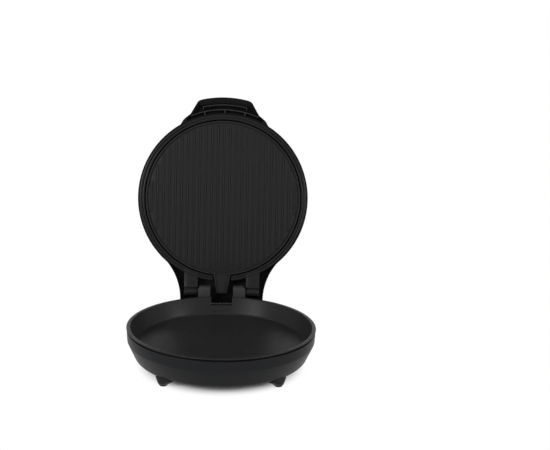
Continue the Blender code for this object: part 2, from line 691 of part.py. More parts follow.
def make_baking_pan(root, coating):
    pan = turned("baking_pan", rounded([
        (0, PAN_FLOOR_TOP, 0),
        (PAN_FLOOR_RADIUS, PAN_FLOOR_TOP, PAN_FILLET),
        (PAN_RADIUS, RIM_HEIGHT, PAN_LIP),
        (BODY_RADIUS, RIM_HEIGHT, PAN_LIP),
        (BODY_RADIUS, RIM_HEIGHT - PAN_FLANGE_THICKNESS, PAN_LIP),
        (PAN_RADIUS + PAN_WALL, RIM_HEIGHT - PAN_FLANGE_THICKNESS, 0),
        (PAN_FLOOR_RADIUS + PAN_WALL, PAN_UNDERSIDE, PAN_FILLET),
        (0, PAN_UNDERSIDE, 0),
    ], steps=2), root, material=coating, ring=False)
    notch = block("pan_notch", (-NOTCH_HALF_WIDTH, PAN_FLOOR_RADIUS, RIM_HEIGHT - NOTCH_DEPTH),
                  (NOTCH_HALF_WIDTH, BODY_RADIUS + CUT, RIM_HEIGHT + CUT), root)
    combine(pan, notch, "DIFFERENCE")
    foot = LEDGE_TOP + GAP + SHIELD_THICKNESS + GAP
    for place in spread(PAN_BOSS_COUNT, PAN_BOSS_CIRCLE, -90):
        boss = rod("pan_boss", PAN_BOSS_RADIUS, foot, PAN_UNDERSIDE + PAN_FLOOR / 2, root, place)
        combine(pan, boss, "UNION")


def make_element(name, height, parent, steel):
    """A tube bent to a ring that is open at the back, with two tails out to the terminals."""
    half = ELEMENT_OPENING / 2
    ring = arc(0, 0, ELEMENT_CIRCLE, 90 + half, 450 - half, 36)
    tail = ELEMENT_CIRCLE + ELEMENT_TAIL
    route = [(ring[0][0], tail)] + ring + [(ring[-1][0], tail)]
    curve = bpy.data.curves.new(name, "CURVE")
    curve.dimensions = "3D"
    curve.bevel_depth = ELEMENT_RADIUS
    curve.bevel_resolution = 1
    curve.use_fill_caps = True
    line = curve.splines.new("POLY")
    line.points.add(len(route) - 1)
    for point, (x, y) in zip(line.points, route):
        point.co = (x, y, 0, 1)
    keep(name, mesh_of(curve), parent, (0, 0, height), steel)


def ring_plate(name, inner, outer, bottom, top, parent, material, steps=48):
    """A flat ring of sheet metal."""
    return turned(name, [(inner, top), (outer, top), (outer, bottom), (inner, bottom)], parent,
                  material=material, steps=steps)


def make_lower_heater(root, steel, bright_steel, ceramic):
    element_height = PAN_UNDERSIDE - GAP - ELEMENT_RADIUS
    make_element("lower_element", element_height, root, steel)
    clamp_top = element_height - ELEMENT_RADIUS - GAP
    clamp_bottom = clamp_top - CLAMP_THICKNESS
    ring_plate("lower_element_clamp", CLAMP_INNER, ELEMENT_CIRCLE + CLAMP_HALF_WIDTH, clamp_bottom,
               clamp_top, root, bright_steel)
    shield_bottom = LEDGE_TOP + GAP
    ring_plate("lower_heat_shield", SHIELD_HOLE_RADIUS, TAPER_BOTTOM_RADIUS - LOWER_SHIELD_INSET,
               shield_bottom, shield_bottom + SHIELD_THICKNESS, root, bright_steel, TURN_STEPS)
    top = PAN_UNDERSIDE - GAP
    rod("lower_thermostat", THERMOSTAT_RADIUS, top - THERMOSTAT_HEIGHT, top, root,
        (0, -THERMOSTAT_OFFSET, 0), ceramic, sides=20)
    fuse = rod("lower_thermal_fuse", FUSE_RADIUS, -FUSE_LENGTH / 2, FUSE_LENGTH / 2, root,
               (0, -ELEMENT_CIRCLE, clamp_bottom - GAP - FUSE_RADIUS), ceramic, sides=12)
    lie_along(fuse, "X")


def make_terminal_block(root, ceramic):
    half = TERMINAL_WIDTH / 2
    step = TERMINAL_HEIGHT - TERMINAL_STEP
    place = (TERMINAL_X, HINGE_REACH - TERMINAL_ADVANCE, COVER_TOP + GAP)
    slab("terminal_block", [
        (-half, 0), (half, 0), (half, step), (half - TERMINAL_STEP, step),
        (half - TERMINAL_STEP, TERMINAL_HEIGHT), (TERMINAL_STEP - half, TERMINAL_HEIGHT),
        (TERMINAL_STEP - half, step), (-half, step),
    ], -TERMINAL_LENGTH / 2, TERMINAL_LENGTH / 2, root, place, ceramic, along_x=True)


def make_cord_gland(root, rubber):
    """The bush that the lead goes in through, in the bracket's back."""
    top = GLAND_FLANGE + GAP
    gland = turned("cord_gland", [
        (0, top - GLAND_BORE_DEPTH), (GLAND_BORE_RADIUS, top - GLAND_BORE_DEPTH), (GLAND_BORE_RADIUS, top),
        (GLAND_FLANGE_RADIUS, top), (GLAND_FLANGE_RADIUS, GAP), (GLAND_RADIUS, GAP),
        (GLAND_RADIUS, top - GLAND_LENGTH), (0, top - GLAND_LENGTH),
    ], root, (GLAND_X, BRACKET_BACK, GLAND_HEIGHT), rubber, ring=False, steps=20)
    gland.rotation_euler.x = math.radians(-90)


def make_hinge_pins(axis, steel):
    near = POST_INNER + PIN_END_COVER + GAP
    far = KNUCKLE_OUTER - PIN_END_COVER - GAP
    for side, name in ((-1, "left"), (1, "right")):
        low, high = sorted((side * near, side * far))
        pin = rod(f"hinge_pin_{name}", PIN_RADIUS, low, high, axis, material=steel, sides=PIN_SIDES)
        lie_along(pin, "X")


# Lid shell with its neck and handle

def crown_height(radius):
    """Outside of the lid's crown, a shallow dome, at a distance from the lid's axis."""
    return LID_CROWN - (LID_CROWN - LID_SHOULDER) * (radius / LID_SHOULDER_RADIUS) ** 2


def dome_profile(inset, bottom):
    """The round lid's outer surface, or its inner one a wall's thickness in."""
    reach = LID_SHOULDER_RADIUS - inset
    crown = [(share * reach, crown_height(share * reach) - inset, 0) for share in CROWN_SHARES]
    ring_top = RING_FACE + RING_HEIGHT + GAP
    return rounded(crown + [
        (reach, LID_SHOULDER - inset, LID_CORNER),
        (BODY_RADIUS - LID_BAND_DRAFT - inset, LID_BAND_TOP - inset / 2, LID_CORNER / 2),
        (BODY_RADIUS - inset, ring_top, 0),
        (BODY_RADIUS - inset, bottom, 0),
        (0, bottom, 0),
    ])


def neck_outline(inset):
    """The neck in plan, about the hinge axis, with hollow flanks."""
    centre_x = NECK_HALF_WIDTH + NECK_FLANK_RADIUS
    flank = arc(centre_x, FLANK_TOP, NECK_FLANK_RADIUS + inset, 180, 180 + NECK_FLANK_TURN, 10)
    right = [(NECK_HALF_WIDTH - inset, NECK_END_RADIUS + CUT)] + flank + [(NECK_ROOT_HALF_WIDTH, -NECK_RUN)]
    return right + [(-x, y) for x, y in reversed(right)]


def neck_side(inset, bottom):
    """The neck from the side, about the hinge axis, with a round end."""
    radius = NECK_END_RADIUS - inset
    end = arc(0, 0, radius, math.degrees(math.asin(bottom / radius)), 90, 8)
    far = -NECK_RUN - CUT
    return [(far, bottom)] + end + [(far, radius + NECK_TOP_SLOPE)]


def neck_form(name, inset, bottom, axis):
    plan = slab(name, neck_outline(inset), bottom, NECK_END_RADIUS + NECK_TOP_SLOPE + CUT, axis)
    side = slab(f"{name}_side", neck_side(inset, bottom), -NECK_ROOT_HALF_WIDTH - NECK_FLANK_RADIUS,
                NECK_ROOT_HALF_WIDTH + NECK_FLANK_RADIUS, axis, along_x=True)
    combine(plan, side, "INTERSECT")
    return plan


def grip_outline(root, shoulder, waist, corner, reach, fillet):
    """The handle in plan, about the lid's axis: a root along the lid's wall, then a tapered grip.

    The root and the shoulder are given as a radius and an angle.
    """
    right = [(*on_circle(*root), 0), (*on_circle(*shoulder), fillet / 3),
             (waist[0], -waist[1], 0), (corner[0], -corner[1], fillet)]
    crown_angle = GRIP_ARC_SHARE * math.degrees(math.asin(corner[0] / reach))
    crown = [(x, y, 0) for x, y in arc(0, 0, reach, crown_angle - 90, -crown_angle - 90, 8)]
    left = [(-x, y, radius) for x, y, radius in reversed(right)]
    inner = [(x, y, 0) for x, y in arc(0, 0, root[0], -root[1] - 90, root[1] - 90, 10)[1:-1]]
    return rounded(right + crown + left + inner)


def at_reach(stand, x):
    """A point in plan in front of the lid, some way outside the round body and off the middle."""
    return x, math.sqrt((BODY_RADIUS + stand) ** 2 - x ** 2)


def pocket_outline(inset):
    """The hollow under the handle, or a piece that fits in it."""
    turn = math.degrees(inset / BODY_RADIUS)
    angle = POCKET_ROOT_ANGLE - turn
    waist_x, waist_y = at_reach(POCKET_WAIST_STAND, POCKET_WAIST_X)
    return grip_outline((BODY_RADIUS + GAP + inset, angle), (POCKET_SHOULDER_RADIUS - inset, angle),
                        (waist_x - inset, waist_y - inset / 2),
                        at_reach(POCKET_STAND - inset, POCKET_CORNER_X - inset), POCKET_RADIUS - inset,
                        POCKET_CORNER)


def bevel_outline():
    """The rim of the hollow under the handle, just inside the handle's edge."""
    lip = POCKET_BEVEL_LIP
    waist_x, waist_y = at_reach(HANDLE_WAIST_STAND, HANDLE_WAIST_X)
    corner_x, corner_y = at_reach(HANDLE_CORNER_STAND, HANDLE_CORNER_X)
    return grip_outline((BODY_RADIUS + GAP, POCKET_ROOT_ANGLE), (POCKET_SHOULDER_RADIUS, POCKET_ROOT_ANGLE),
                        (waist_x - 2 * lip, waist_y + lip / 2), (corner_x - lip, corner_y - lip),
                        HANDLE_REACH - lip, HANDLE_CORNER - lip)


def pocket_top():
    return RING_FACE + HANDLE_TOP_HEIGHT - HANDLE_FRONT_DROP - HANDLE_SKIN


def handle_form(lid):
    top = RING_FACE + HANDLE_TOP_HEIGHT
    edge = RING_FACE + HANDLE_EDGE_RISE
    plan = slab("handle_form", grip_outline(
        (BODY_RADIUS - HANDLE_ROOT_DEPTH, HANDLE_ROOT_ANGLE), (HANDLE_SHOULDER_RADIUS, HANDLE_SHOULDER_ANGLE),
        at_reach(HANDLE_WAIST_STAND, HANDLE_WAIST_X), at_reach(HANDLE_CORNER_STAND, HANDLE_CORNER_X),
        HANDLE_REACH, HANDLE_CORNER), edge - CUT, top + CUT, lid)
    side = turned("handle_side", rounded([
        (0, top, 0),
        (BODY_RADIUS, top, HANDLE_FRONT_CORNER),
        (HANDLE_REACH - HANDLE_EDGE_CORNER, top - HANDLE_FRONT_DROP, HANDLE_FRONT_CORNER),
        (HANDLE_REACH, edge, HANDLE_EDGE_CORNER),
        (0, edge, 0),
    ]), lid, ring=False, steps=2 * TURN_STEPS)
    combine(plan, side, "INTERSECT")
    return plan


def grip_screw_places():
    x, forward = at_reach(GRIP_SCREW_STAND, GRIP_SCREW_X)
    return [(side * x, -forward, 0) for side in (-1, 1)]


def lens_places():
    return [(side * LENS_SPACING / 2, -LENS_FORWARD, 0) for side in (-1, 1)]


def make_lid_shell(axis, lid, plastic):
    shell = turned("lid_shell", dome_profile(0, RING_FACE - CUT / 2), lid, material=plastic, ring=False)
    combine(shell, neck_form("neck_form", 0, RING_FACE - CUT, axis), "UNION")
    below = block("rim_plane", (-HANDLE_REACH, -HANDLE_REACH, RING_FACE - 3 * CUT),
                  (HANDLE_REACH, HINGE_REACH + NECK_END_RADIUS + CUT, RING_FACE), lid)
    combine(shell, below, "DIFFERENCE")
    combine(shell, handle_form(lid), "UNION")

    slots = both_sides("post_slot", (POST_INNER - POST_SLOT_MARGIN, NECK_END_RADIUS / 2, RING_FACE - CUT),
                       (POST_OUTER + POST_SLOT_MARGIN, NECK_END_RADIUS + CUT, POST_SLOT_RISE), axis)
    for slot in slots:
        combine(shell, slot, "DIFFERENCE")

    hollow = turned("lid_hollow", dome_profile(LID_WALL, RING_FACE - 2 * CUT), lid, ring=False)
    combine(hollow, neck_form("neck_hollow", LID_WALL, RING_FACE - 3 * CUT / 2, axis), "UNION")
    combine(shell, hollow, "DIFFERENCE")

    edge = RING_FACE + HANDLE_EDGE_RISE
    bevel_top = edge + POCKET_BEVEL_DEPTH
    bevel = loft("pocket_bevel", [(bevel_outline(), edge - GAP), (pocket_outline(0), bevel_top)], lid)
    combine(shell, bevel, "DIFFERENCE")
    pocket = slab("pocket_form", pocket_outline(0), edge - CUT, pocket_top(), lid)
    combine(shell, pocket, "DIFFERENCE")
    for place in grip_screw_places():
        hole = rod("grip_screw_hole", SCREW_RADIUS + SCREW_HOLE_CLEARANCE, pocket_top() - CUT,
                   pocket_top() + HANDLE_SKIN, lid, place, sides=12)
        combine(shell, hole, "DIFFERENCE")

    shield_top = SHIELD_BOTTOM + SHIELD_THICKNESS
    for place in spread(PLATE_BOSS_COUNT, SHELL_PILLAR_CIRCLE, 30):
        pillar = rod("shell_pillar", PLATE_BOSS_RADIUS, shield_top + GAP,
                     crown_height(SHELL_PILLAR_CIRCLE) - LID_WALL / 2, lid, place)
        combine(shell, pillar, "UNION")
    for place in lens_places():
        hole = rod("lens_hole", LENS_RADIUS + GAP, LID_SHOULDER - LID_CORNER, LID_CROWN + CUT, lid, place,
                   sides=20)
        combine(shell, hole, "DIFFERENCE")


def sector(inner, outer, start, end, steps):
    """Part of a ring in plan, between two angles from the front."""
    far = arc(0, 0, outer, start - 90, end - 90, steps)
    near = arc(0, 0, inner, end - 90, start - 90, steps)
    return far + near


def make_handle_liner(lid, plastic):
    """The handle's inner moulding: a floor with two curved walls and short ribs."""
    top = pocket_top() - GAP
    floor_bottom = top - GRIP_FLOOR
    edge = RING_FACE + GRIP_SET_BACK
    inside = floor_bottom + GRIP_FLOOR / 2
    liner = slab("handle_liner", pocket_outline(GAP), floor_bottom, top, lid, material=plastic)
    near_outer = GRIP_NEAR_ARC + GRIP_WALL
    far_outer = GRIP_FAR_ARC + GRIP_WALL
    near_wall = slab("near_wall", sector(GRIP_NEAR_ARC - GRIP_WALL / 2, near_outer - GRIP_WALL / 2,
                                         -GRIP_NEAR_ANGLE, GRIP_NEAR_ANGLE, 14), edge, inside, lid)
    combine(liner, near_wall, "UNION")
    far_turn = math.degrees(math.asin(GRIP_FAR_HALF_WIDTH / far_outer))
    far_wall = slab("far_wall", sector(GRIP_FAR_ARC, far_outer, -far_turn, far_turn, 10), edge, inside, lid)
    combine(liner, far_wall, "UNION")
    end_near = math.sqrt(near_outer ** 2 - GRIP_FAR_HALF_WIDTH ** 2) + GRIP_WALL
    end_far = math.sqrt(GRIP_FAR_ARC ** 2 - GRIP_FAR_HALF_WIDTH ** 2) + GRIP_WALL / 2
    for wall in both_sides("grip_end", (GRIP_FAR_HALF_WIDTH - GRIP_WALL, -end_far, edge),
                           (GRIP_FAR_HALF_WIDTH - GAP, -end_near, inside), lid):
        combine(liner, wall, "UNION")
    half = math.degrees(GRIP_RIB / 2 / GRIP_NEAR_ARC)
    for turn in (-GRIP_RIB_ANGLE, 0, GRIP_RIB_ANGLE):
        rib = slab("grip_rib", sector(BODY_RADIUS + 2 * GAP, GRIP_NEAR_ARC, turn - half, turn + half, 1),
                   edge, inside, lid)
        combine(liner, rib, "UNION")
    for place in grip_screw_places():
        hole = rod("liner_hole", SCREW_RADIUS + SCREW_HOLE_CLEARANCE, edge, pocket_top() + CUT, lid, place,
                   sides=12)
        combine(liner, hole, "DIFFERENCE")


def make_handle_screws(lid, steel):
    head_top = pocket_top() - GAP - GRIP_FLOOR - GAP
    tip = pocket_top() + HANDLE_SKIN - GAP
    for place, name in zip(grip_screw_places(), ("left", "right")):
        turned(f"handle_screw_{name}", [
            (0, tip), (SCREW_RADIUS, tip), (SCREW_RADIUS, head_top), (SCREW_HEAD_RADIUS, head_top),
            (SCREW_HEAD_RADIUS, head_top - SCREW_HEAD_HEIGHT), (0, head_top - SCREW_HEAD_HEIGHT),
        ], lid, place, steel, ring=False, steps=16)


# Ring, plate and heater of the lid

def knuckle_outline():
    """A knuckle from the side, about the hinge axis: a flat face that ends in a barrel."""
    top = RING_FACE + KNUCKLE_HEIGHT
    inner = -NECK_RUN / 2
    barrel = arc(0, 0, BARREL_RADIUS, 175, 450, 14)
    return [(inner, RING_FACE), (-KNUCKLE_LEDGE, RING_FACE), (-KNUCKLE_LEDGE + GAP, 0)] + barrel + [
        (-KNUCKLE_LEDGE, top), (inner, top)]


def make_lid_frame(axis, lid, plastic):
    top = RING_FACE + RING_HEIGHT
    face = RING_FACE
    frame = turned("lid_frame", [
        (RING_INNER_RADIUS, top), (FRAME_RADIUS, top), (FRAME_RADIUS, face + RING_EDGE),
        (FRAME_RADIUS - RING_EDGE, face),
        (GROOVE_INNER_RADIUS + GROOVE_WIDTH, face),
        (GROOVE_INNER_RADIUS + GROOVE_WIDTH * 3 / 4, face + GROOVE_DEPTH),
        (GROOVE_INNER_RADIUS + GROOVE_WIDTH / 4, face + GROOVE_DEPTH),
        (GROOVE_INNER_RADIUS, face), (RING_INNER_RADIUS + RING_EDGE, face),
        (RING_INNER_RADIUS, face + RING_EDGE),
    ], lid, material=plastic)
    well = turned("plate_well", [
        (0, top + KNUCKLE_HEIGHT), (RING_INNER_RADIUS, top + KNUCKLE_HEIGHT),
        (RING_INNER_RADIUS, face - CUT), (0, face - CUT)], lid, ring=False)
    for side, name in ((-1, "left"), (1, "right")):
        low, high = sorted((side * KNUCKLE_INNER, side * KNUCKLE_OUTER))
        knuckle = slab(f"knuckle_{name}", knuckle_outline(), low, high, axis, along_x=True)
        combine(knuckle, well, "DIFFERENCE")
        combine(frame, knuckle, "UNION")
        low, high = sorted((side * (KNUCKLE_INNER - CUT), side * (KNUCKLE_OUTER - PIN_END_COVER)))
        bore = rod(f"knuckle_bore_{name}", PIN_RADIUS + PIN_CLEARANCE, low, high, axis, sides=PIN_SIDES)
        lie_along(bore, "X")
        combine(frame, bore, "DIFFERENCE")
    half = TAB_ROOT_HALF_WIDTH + TAB_SIDE_CLEARANCE
    opening = block("tab_opening", (-half, RING_INNER_RADIUS - CUT, face - CUT),
                    (half, BODY_RADIUS + CUT, top + CUT), lid)
    combine(frame, opening, "DIFFERENCE")


def rib_form(lid):
    """All the ribs as one cutter: low ridges that run from front to back."""
    mesh = bpy.data.meshes.new("rib_form")
    shape = bmesh.new()
    for i in range(-RIB_SIDE_COUNT, RIB_SIDE_COUNT + 1):
        x = i * RIB_PITCH
        half_length = math.sqrt(RIB_END_RADIUS ** 2 - x ** 2)
        made = bmesh.ops.create_cube(shape, size=1)["verts"]
        depth = RIB_HEIGHT + PLATE_THICKNESS / 2
        bmesh.ops.scale(shape, verts=made, vec=(RIB_WIDTH, 2 * half_length, depth))
        bmesh.ops.translate(shape, verts=made, vec=(x, 0, PLATE_FACE - RIB_HEIGHT + depth / 2))
        edge = [corner for corner in made if corner.co.z < PLATE_FACE]
        for corner in edge:
            corner.co.x = x + (corner.co.x - x) * RIB_TOP_WIDTH / RIB_WIDTH
            corner.co.y *= 1 - RIB_HEIGHT / half_length
    shape.to_mesh(mesh)
    shape.free()
    return keep("rib_form", mesh, lid)


def tab_outline(start, inset):
    """The plate's tongue towards the hinge, in plan about the hinge axis."""
    root = TAB_ROOT_HALF_WIDTH - inset
    tip = TAB_TIP_HALF_WIDTH - inset
    return [(-root, start), (root, start), (tip, TAB_OVERRUN - inset), (-tip, TAB_OVERRUN - inset)]


def make_upper_plate(axis, lid, coating):
    edge = PLATE_EDGE
    rim_inner = PLATE_RADIUS - PLATE_RIM_WIDTH
    plate = loft("upper_plate", [(circle(radius), height) for radius, height in (
        (PLATE_RADIUS - edge, PLATE_BACK), (PLATE_RADIUS, PLATE_BACK - edge),
        (PLATE_RADIUS, PLATE_RIM_FACE + edge), (PLATE_RADIUS - edge, PLATE_RIM_FACE),
        (rim_inner, PLATE_RIM_FACE), (rim_inner - PLATE_RIM_RISE / 2, PLATE_FACE),
    )], lid, material=coating)
    combine(plate, rib_form(lid), "UNION")
    root = PLATE_RADIUS - PLATE_RIM_WIDTH / 2 - HINGE_REACH
    flange = PLATE_RIM_FACE - TAB_FLANGE_HEIGHT
    tab = slab("tab_form", tab_outline(root, 0), flange, PLATE_BACK - 2 * edge, axis)
    channel = slab("tab_channel", tab_outline(root - CUT, TAB_FLANGE), flange - CUT, PLATE_RIM_FACE, axis)
    combine(tab, channel, "DIFFERENCE")
    combine(plate, tab, "UNION")
    for place in spread(PLATE_BOSS_COUNT, PLATE_BOSS_CIRCLE, 90):
        boss = rod("plate_boss", PLATE_BOSS_RADIUS, PLATE_FACE + 2 * edge, SHIELD_BOTTOM - GAP, lid, place)
        combine(plate, boss, "UNION")
        hole = rod("plate_boss_hole", SCREW_RADIUS + SCREW_HOLE_CLEARANCE, PLATE_BACK + edge,
                   SHIELD_BOTTOM + CUT, lid, place, sides=12)
        combine(plate, hole, "DIFFERENCE")


def make_upper_heater(lid, steel, bright_steel, ceramic):
    element_height = PLATE_BACK + GAP + ELEMENT_RADIUS
    make_element("upper_element", element_height, lid, steel)
    clamp_bottom = element_height + ELEMENT_RADIUS + GAP
    clamp_top = clamp_bottom + CLAMP_THICKNESS
    ring_plate("upper_element_clamp", CLAMP_INNER, ELEMENT_CIRCLE + 2 * ELEMENT_RADIUS, clamp_bottom,
               clamp_top, lid, bright_steel)
    shield_top = SHIELD_BOTTOM + SHIELD_THICKNESS
    shield = ring_plate("upper_heat_shield", SHIELD_HOLE_RADIUS, PLATE_RADIUS - UPPER_SHIELD_INSET,
                        SHIELD_BOTTOM, shield_top, lid, bright_steel, TURN_STEPS)
    for i, place in enumerate(spread(PLATE_BOSS_COUNT, PLATE_BOSS_CIRCLE, 90)):
        hole = rod("shield_hole", SCREW_RADIUS + SCREW_HOLE_CLEARANCE, SHIELD_BOTTOM - CUT,
                   shield_top + CUT, lid, place, sides=12)
        combine(shield, hole, "DIFFERENCE")
        head = shield_top + GAP
        tip = PLATE_BACK + 2 * PLATE_EDGE
        turned(f"plate_screw_{i + 1}", [
            (0, head + SCREW_HEAD_HEIGHT), (SCREW_HEAD_RADIUS, head + SCREW_HEAD_HEIGHT),
            (SCREW_HEAD_RADIUS, head), (SCREW_RADIUS, head), (SCREW_RADIUS, tip), (0, tip),
        ], lid, place, steel, ring=False, steps=16)
    bottom = PLATE_BACK + GAP
    rod("upper_thermostat", THERMOSTAT_RADIUS, bottom, bottom + THERMOSTAT_HEIGHT, lid,
        (0, THERMOSTAT_OFFSET, 0), ceramic, sides=20)
    fuse = rod("upper_thermal_fuse", FUSE_RADIUS, -FUSE_LENGTH / 2, FUSE_LENGTH / 2, lid,
               (0, -ELEMENT_CIRCLE, clamp_top + GAP + FUSE_RADIUS), ceramic, sides=12)
    lie_along(fuse, "X")


def lens_flange_top():
    """Under the shell's inner surface at the flange's lowest side."""
    return crown_height(math.hypot(LENS_FORWARD + LENS_FLANGE_RADIUS, LENS_SPACING / 2)) - LID_WALL - GAP


def make_indicator_lenses(lid, colours):
    flange_top = lens_flange_top()
    top = crown_height(math.hypot(LENS_FORWARD, LENS_SPACING / 2)) + LENS_PROUD
    for place, (name, material) in zip(lens_places(), colours.items()):
        turned(f"indicator_lens_{name}", rounded([
            (0, top, 0), (LENS_RADIUS, top - LENS_PROUD / 3, LENS_PROUD / 2), (LENS_RADIUS, flange_top, 0),
            (LENS_FLANGE_RADIUS, flange_top, 0), (LENS_FLANGE_RADIUS, flange_top - LENS_FLANGE, 0),
            (0, flange_top - LENS_FLANGE, 0)]), lid, place, material, ring=False, steps=20)


def make_indicator_holder(lid, plastic):
    """A channel under both lenses, whose two lips meet the shell."""
    half_length = LENS_SPACING / 2 + LENS_FLANGE_RADIUS + HOLDER_MARGIN
    half_width = LENS_FLANGE_RADIUS + HOLDER_MARGIN
    lip = HOLDER_THICKNESS / 2
    floor_top = lens_flange_top() - LENS_FLANGE - GAP
    bottom = floor_top - HOLDER_THICKNESS
    front = crown_height(math.hypot(LENS_FORWARD + half_width, half_length)) - LID_WALL - GAP
    back = crown_height(math.hypot(LENS_FORWARD - half_width + lip, half_length)) - LID_WALL - GAP
    slab("indicator_holder", [
        (-half_width, front), (-half_width, bottom), (half_width, bottom), (half_width, back),
        (half_width - lip, back), (half_width - lip, floor_top), (lip - half_width, floor_top),
        (lip - half_width, front),
    ], -half_length, half_length, lid, (0, -LENS_FORWARD, 0), plastic, along_x=True)


# The whole object

def stand_on_origin(root):
    """Moves everything so that the origin is under the middle of the open object's box."""
    bpy.context.view_layer.update()
    graph = bpy.context.evaluated_depsgraph_get()
    reach = []
    for piece in PARTS.objects:
        if piece.type == "MESH":
            seen = piece.evaluated_get(graph)
            mesh = seen.to_mesh()
            reach += [(seen.matrix_world @ corner.co).y for corner in mesh.vertices]
            seen.to_mesh_clear()
    root.location.y -= (min(reach) + max(reach)) / 2


def build():
    plastic = new_material("black_plastic", (0.024, 0.024, 0.026), 0.55)
    inner_plastic = new_material("black_plastic_inner", (0.020, 0.020, 0.021), 0.60)
    coating = new_material("nonstick_coating", (0.027, 0.027, 0.028), 0.50, 0.1)
    rubber = new_material("black_rubber", (0.015, 0.015, 0.015), 0.85)
    steel = new_material("dull_steel", (0.30, 0.30, 0.30), 0.45, 1.0)
    bright_steel = new_material("bright_steel", (0.55, 0.55, 0.56), 0.35, 1.0)
    ceramic = new_material("white_ceramic", (0.70, 0.69, 0.66), 0.40)
    red = new_material("red_lens", (0.45, 0.02, 0.02), 0.15)
    green = new_material("green_lens", (0.03, 0.35, 0.06), 0.15)

    root = empty_at("pan_axis", (0, 0, 0))
    rest_axis = empty_at("hinge_axis", (0, HINGE_REACH, AXIS_HEIGHT), root)
    axis = empty_at("lid_hinge", (0, 0, 0), rest_axis)
    axis.rotation_euler.x = -math.radians(OPEN_ANGLE)
    lid = empty_at("lid_axis", (0, -HINGE_REACH, 0), axis)

    make_base_housing(root, rest_axis, plastic)
    make_bottom_cover(root, plastic)
    make_cover_screws(root, steel)
    make_front_feet(root, plastic)
    make_rear_feet_and_pads(root, plastic, rubber)
    make_baking_pan(root, coating)
    make_lower_heater(root, steel, bright_steel, ceramic)
    make_terminal_block(root, ceramic)
    make_cord_gland(root, rubber)
    make_hinge_pins(rest_axis, steel)

    make_lid_shell(axis, lid, plastic)
    make_handle_liner(lid, inner_plastic)
    make_handle_screws(lid, steel)
    make_lid_frame(axis, lid, inner_plastic)
    make_upper_plate(axis, lid, coating)
    make_upper_heater(lid, steel, bright_steel, ceramic)
    make_indicator_lenses(lid, {"power": red, "ready": green})
    make_indicator_holder(lid, inner_plastic)
    stand_on_origin(root)


clear_scene()
PARTS = new_collection("pizza_maker")
CUTTERS = new_collection("cutters")
build()
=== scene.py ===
import json
import math

import bmesh
import bpy
from mathutils import Matrix, Vector


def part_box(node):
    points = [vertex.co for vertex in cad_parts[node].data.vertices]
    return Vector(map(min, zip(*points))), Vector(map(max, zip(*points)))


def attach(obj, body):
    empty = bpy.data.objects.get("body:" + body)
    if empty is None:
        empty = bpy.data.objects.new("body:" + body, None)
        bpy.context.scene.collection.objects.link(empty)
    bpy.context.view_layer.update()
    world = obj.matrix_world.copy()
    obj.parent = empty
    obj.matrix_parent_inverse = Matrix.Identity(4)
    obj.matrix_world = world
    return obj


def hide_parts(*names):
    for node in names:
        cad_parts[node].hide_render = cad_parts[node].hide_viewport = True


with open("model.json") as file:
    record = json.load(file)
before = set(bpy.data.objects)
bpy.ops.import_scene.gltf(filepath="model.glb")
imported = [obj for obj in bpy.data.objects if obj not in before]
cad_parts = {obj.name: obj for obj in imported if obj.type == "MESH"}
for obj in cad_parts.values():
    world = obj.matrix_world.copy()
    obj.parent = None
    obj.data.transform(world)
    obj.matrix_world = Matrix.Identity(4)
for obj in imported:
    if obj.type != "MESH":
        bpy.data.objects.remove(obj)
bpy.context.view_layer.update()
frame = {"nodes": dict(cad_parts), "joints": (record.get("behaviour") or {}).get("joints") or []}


# Housing. A deep round shell that carries the pan, injection moulded in black polypropylene: an
# upright band over a taper, and a bracket at the back. Two hinge posts stand on the bracket, in a
# greyer copy of the black plastic: painted light, where the posts catch the lamps.
ROUND_STEPS = 192
HOUSING_TOP = 0.0651
HOUSING_TOP_RADIUS = 0.1643
HOUSING_TOP_EDGE = 0.0008
HOUSING_LIP = 0.0010
LIP_DEPTHS = (0.0015, 0.0040)
BAND_FOOT = 0.0474
BAND_FOOT_RADIUS = 0.1635
BAND_FOOT_EDGE = 0.0012
HOUSING_FOOT = 0.013
HOUSING_FOOT_RADIUS = 0.148
HOUSING_FOOT_ROUNDING = 0.0082
HOUSING_WALL = 0.0025
LEDGE = (0.0158, 0.0183)
LEDGE_RADIUS = 0.131
COVER_SEAT_RADIUS = 0.137
BRACKET_HALF_WIDTH = 0.076
BRACKET_FRONT = 0.105
BRACKET_BACK = 0.200
BRACKET_CORNER = 0.012
BRACKET_ROOM_CORNER = 0.0095
DECK_TOP = 0.0495
DECK_EDGE = 0.0016
NOTCH_HALF_WIDTH = 0.020
NOTCH_BOTTOM = 0.0555
NOTCH_CLEARANCE = 0.0003
HINGE_BEHIND_PAN = 0.184
POST_SIDES = (0.0222, 0.0458)
POST_DEPTH = (-0.0095, 0.0065)
POST_TOP = 0.0126
POST_CHAMFER = 0.0042
POST_EDGE = 0.0003
POST_BORE_WALL = 0.002
PIN_RADIUS = 0.0025
PIN_BORE_RADIUS = 0.00258
GLAND_PLACE = (-0.053, 0.03125)
GLAND_HOLE_RADIUS = 0.0071
CUT = 0.004
NEAR = 0.0001

hinge = frame["joints"][0]["pos_m"]
at_hinge = Matrix.Translation(hinge)
stand = Matrix.Translation((0, hinge[1] - HINGE_BEHIND_PAN, 0))


def spun(section, steps=ROUND_STEPS):
    """Turns a section of (radius, height) corners about the upright axis into a closed skin."""
    shape = bmesh.new()
    corners = [shape.verts.new((radius, 0, height)) for radius, height in section]
    lines = [shape.edges.new(pair) for pair in zip(corners, corners[1:])]
    if section[0][0] > 0:
        lines.append(shape.edges.new((corners[-1], corners[0])))
    bmesh.ops.spin(shape, geom=corners + lines, axis=(0, 0, 1), cent=(0, 0, 0),
                   angle=2 * math.pi, steps=steps, use_merge=True)
    bmesh.ops.remove_doubles(shape, verts=shape.verts, dist=0.000001)
    bmesh.ops.recalc_face_normals(shape, faces=shape.faces)
    return shape


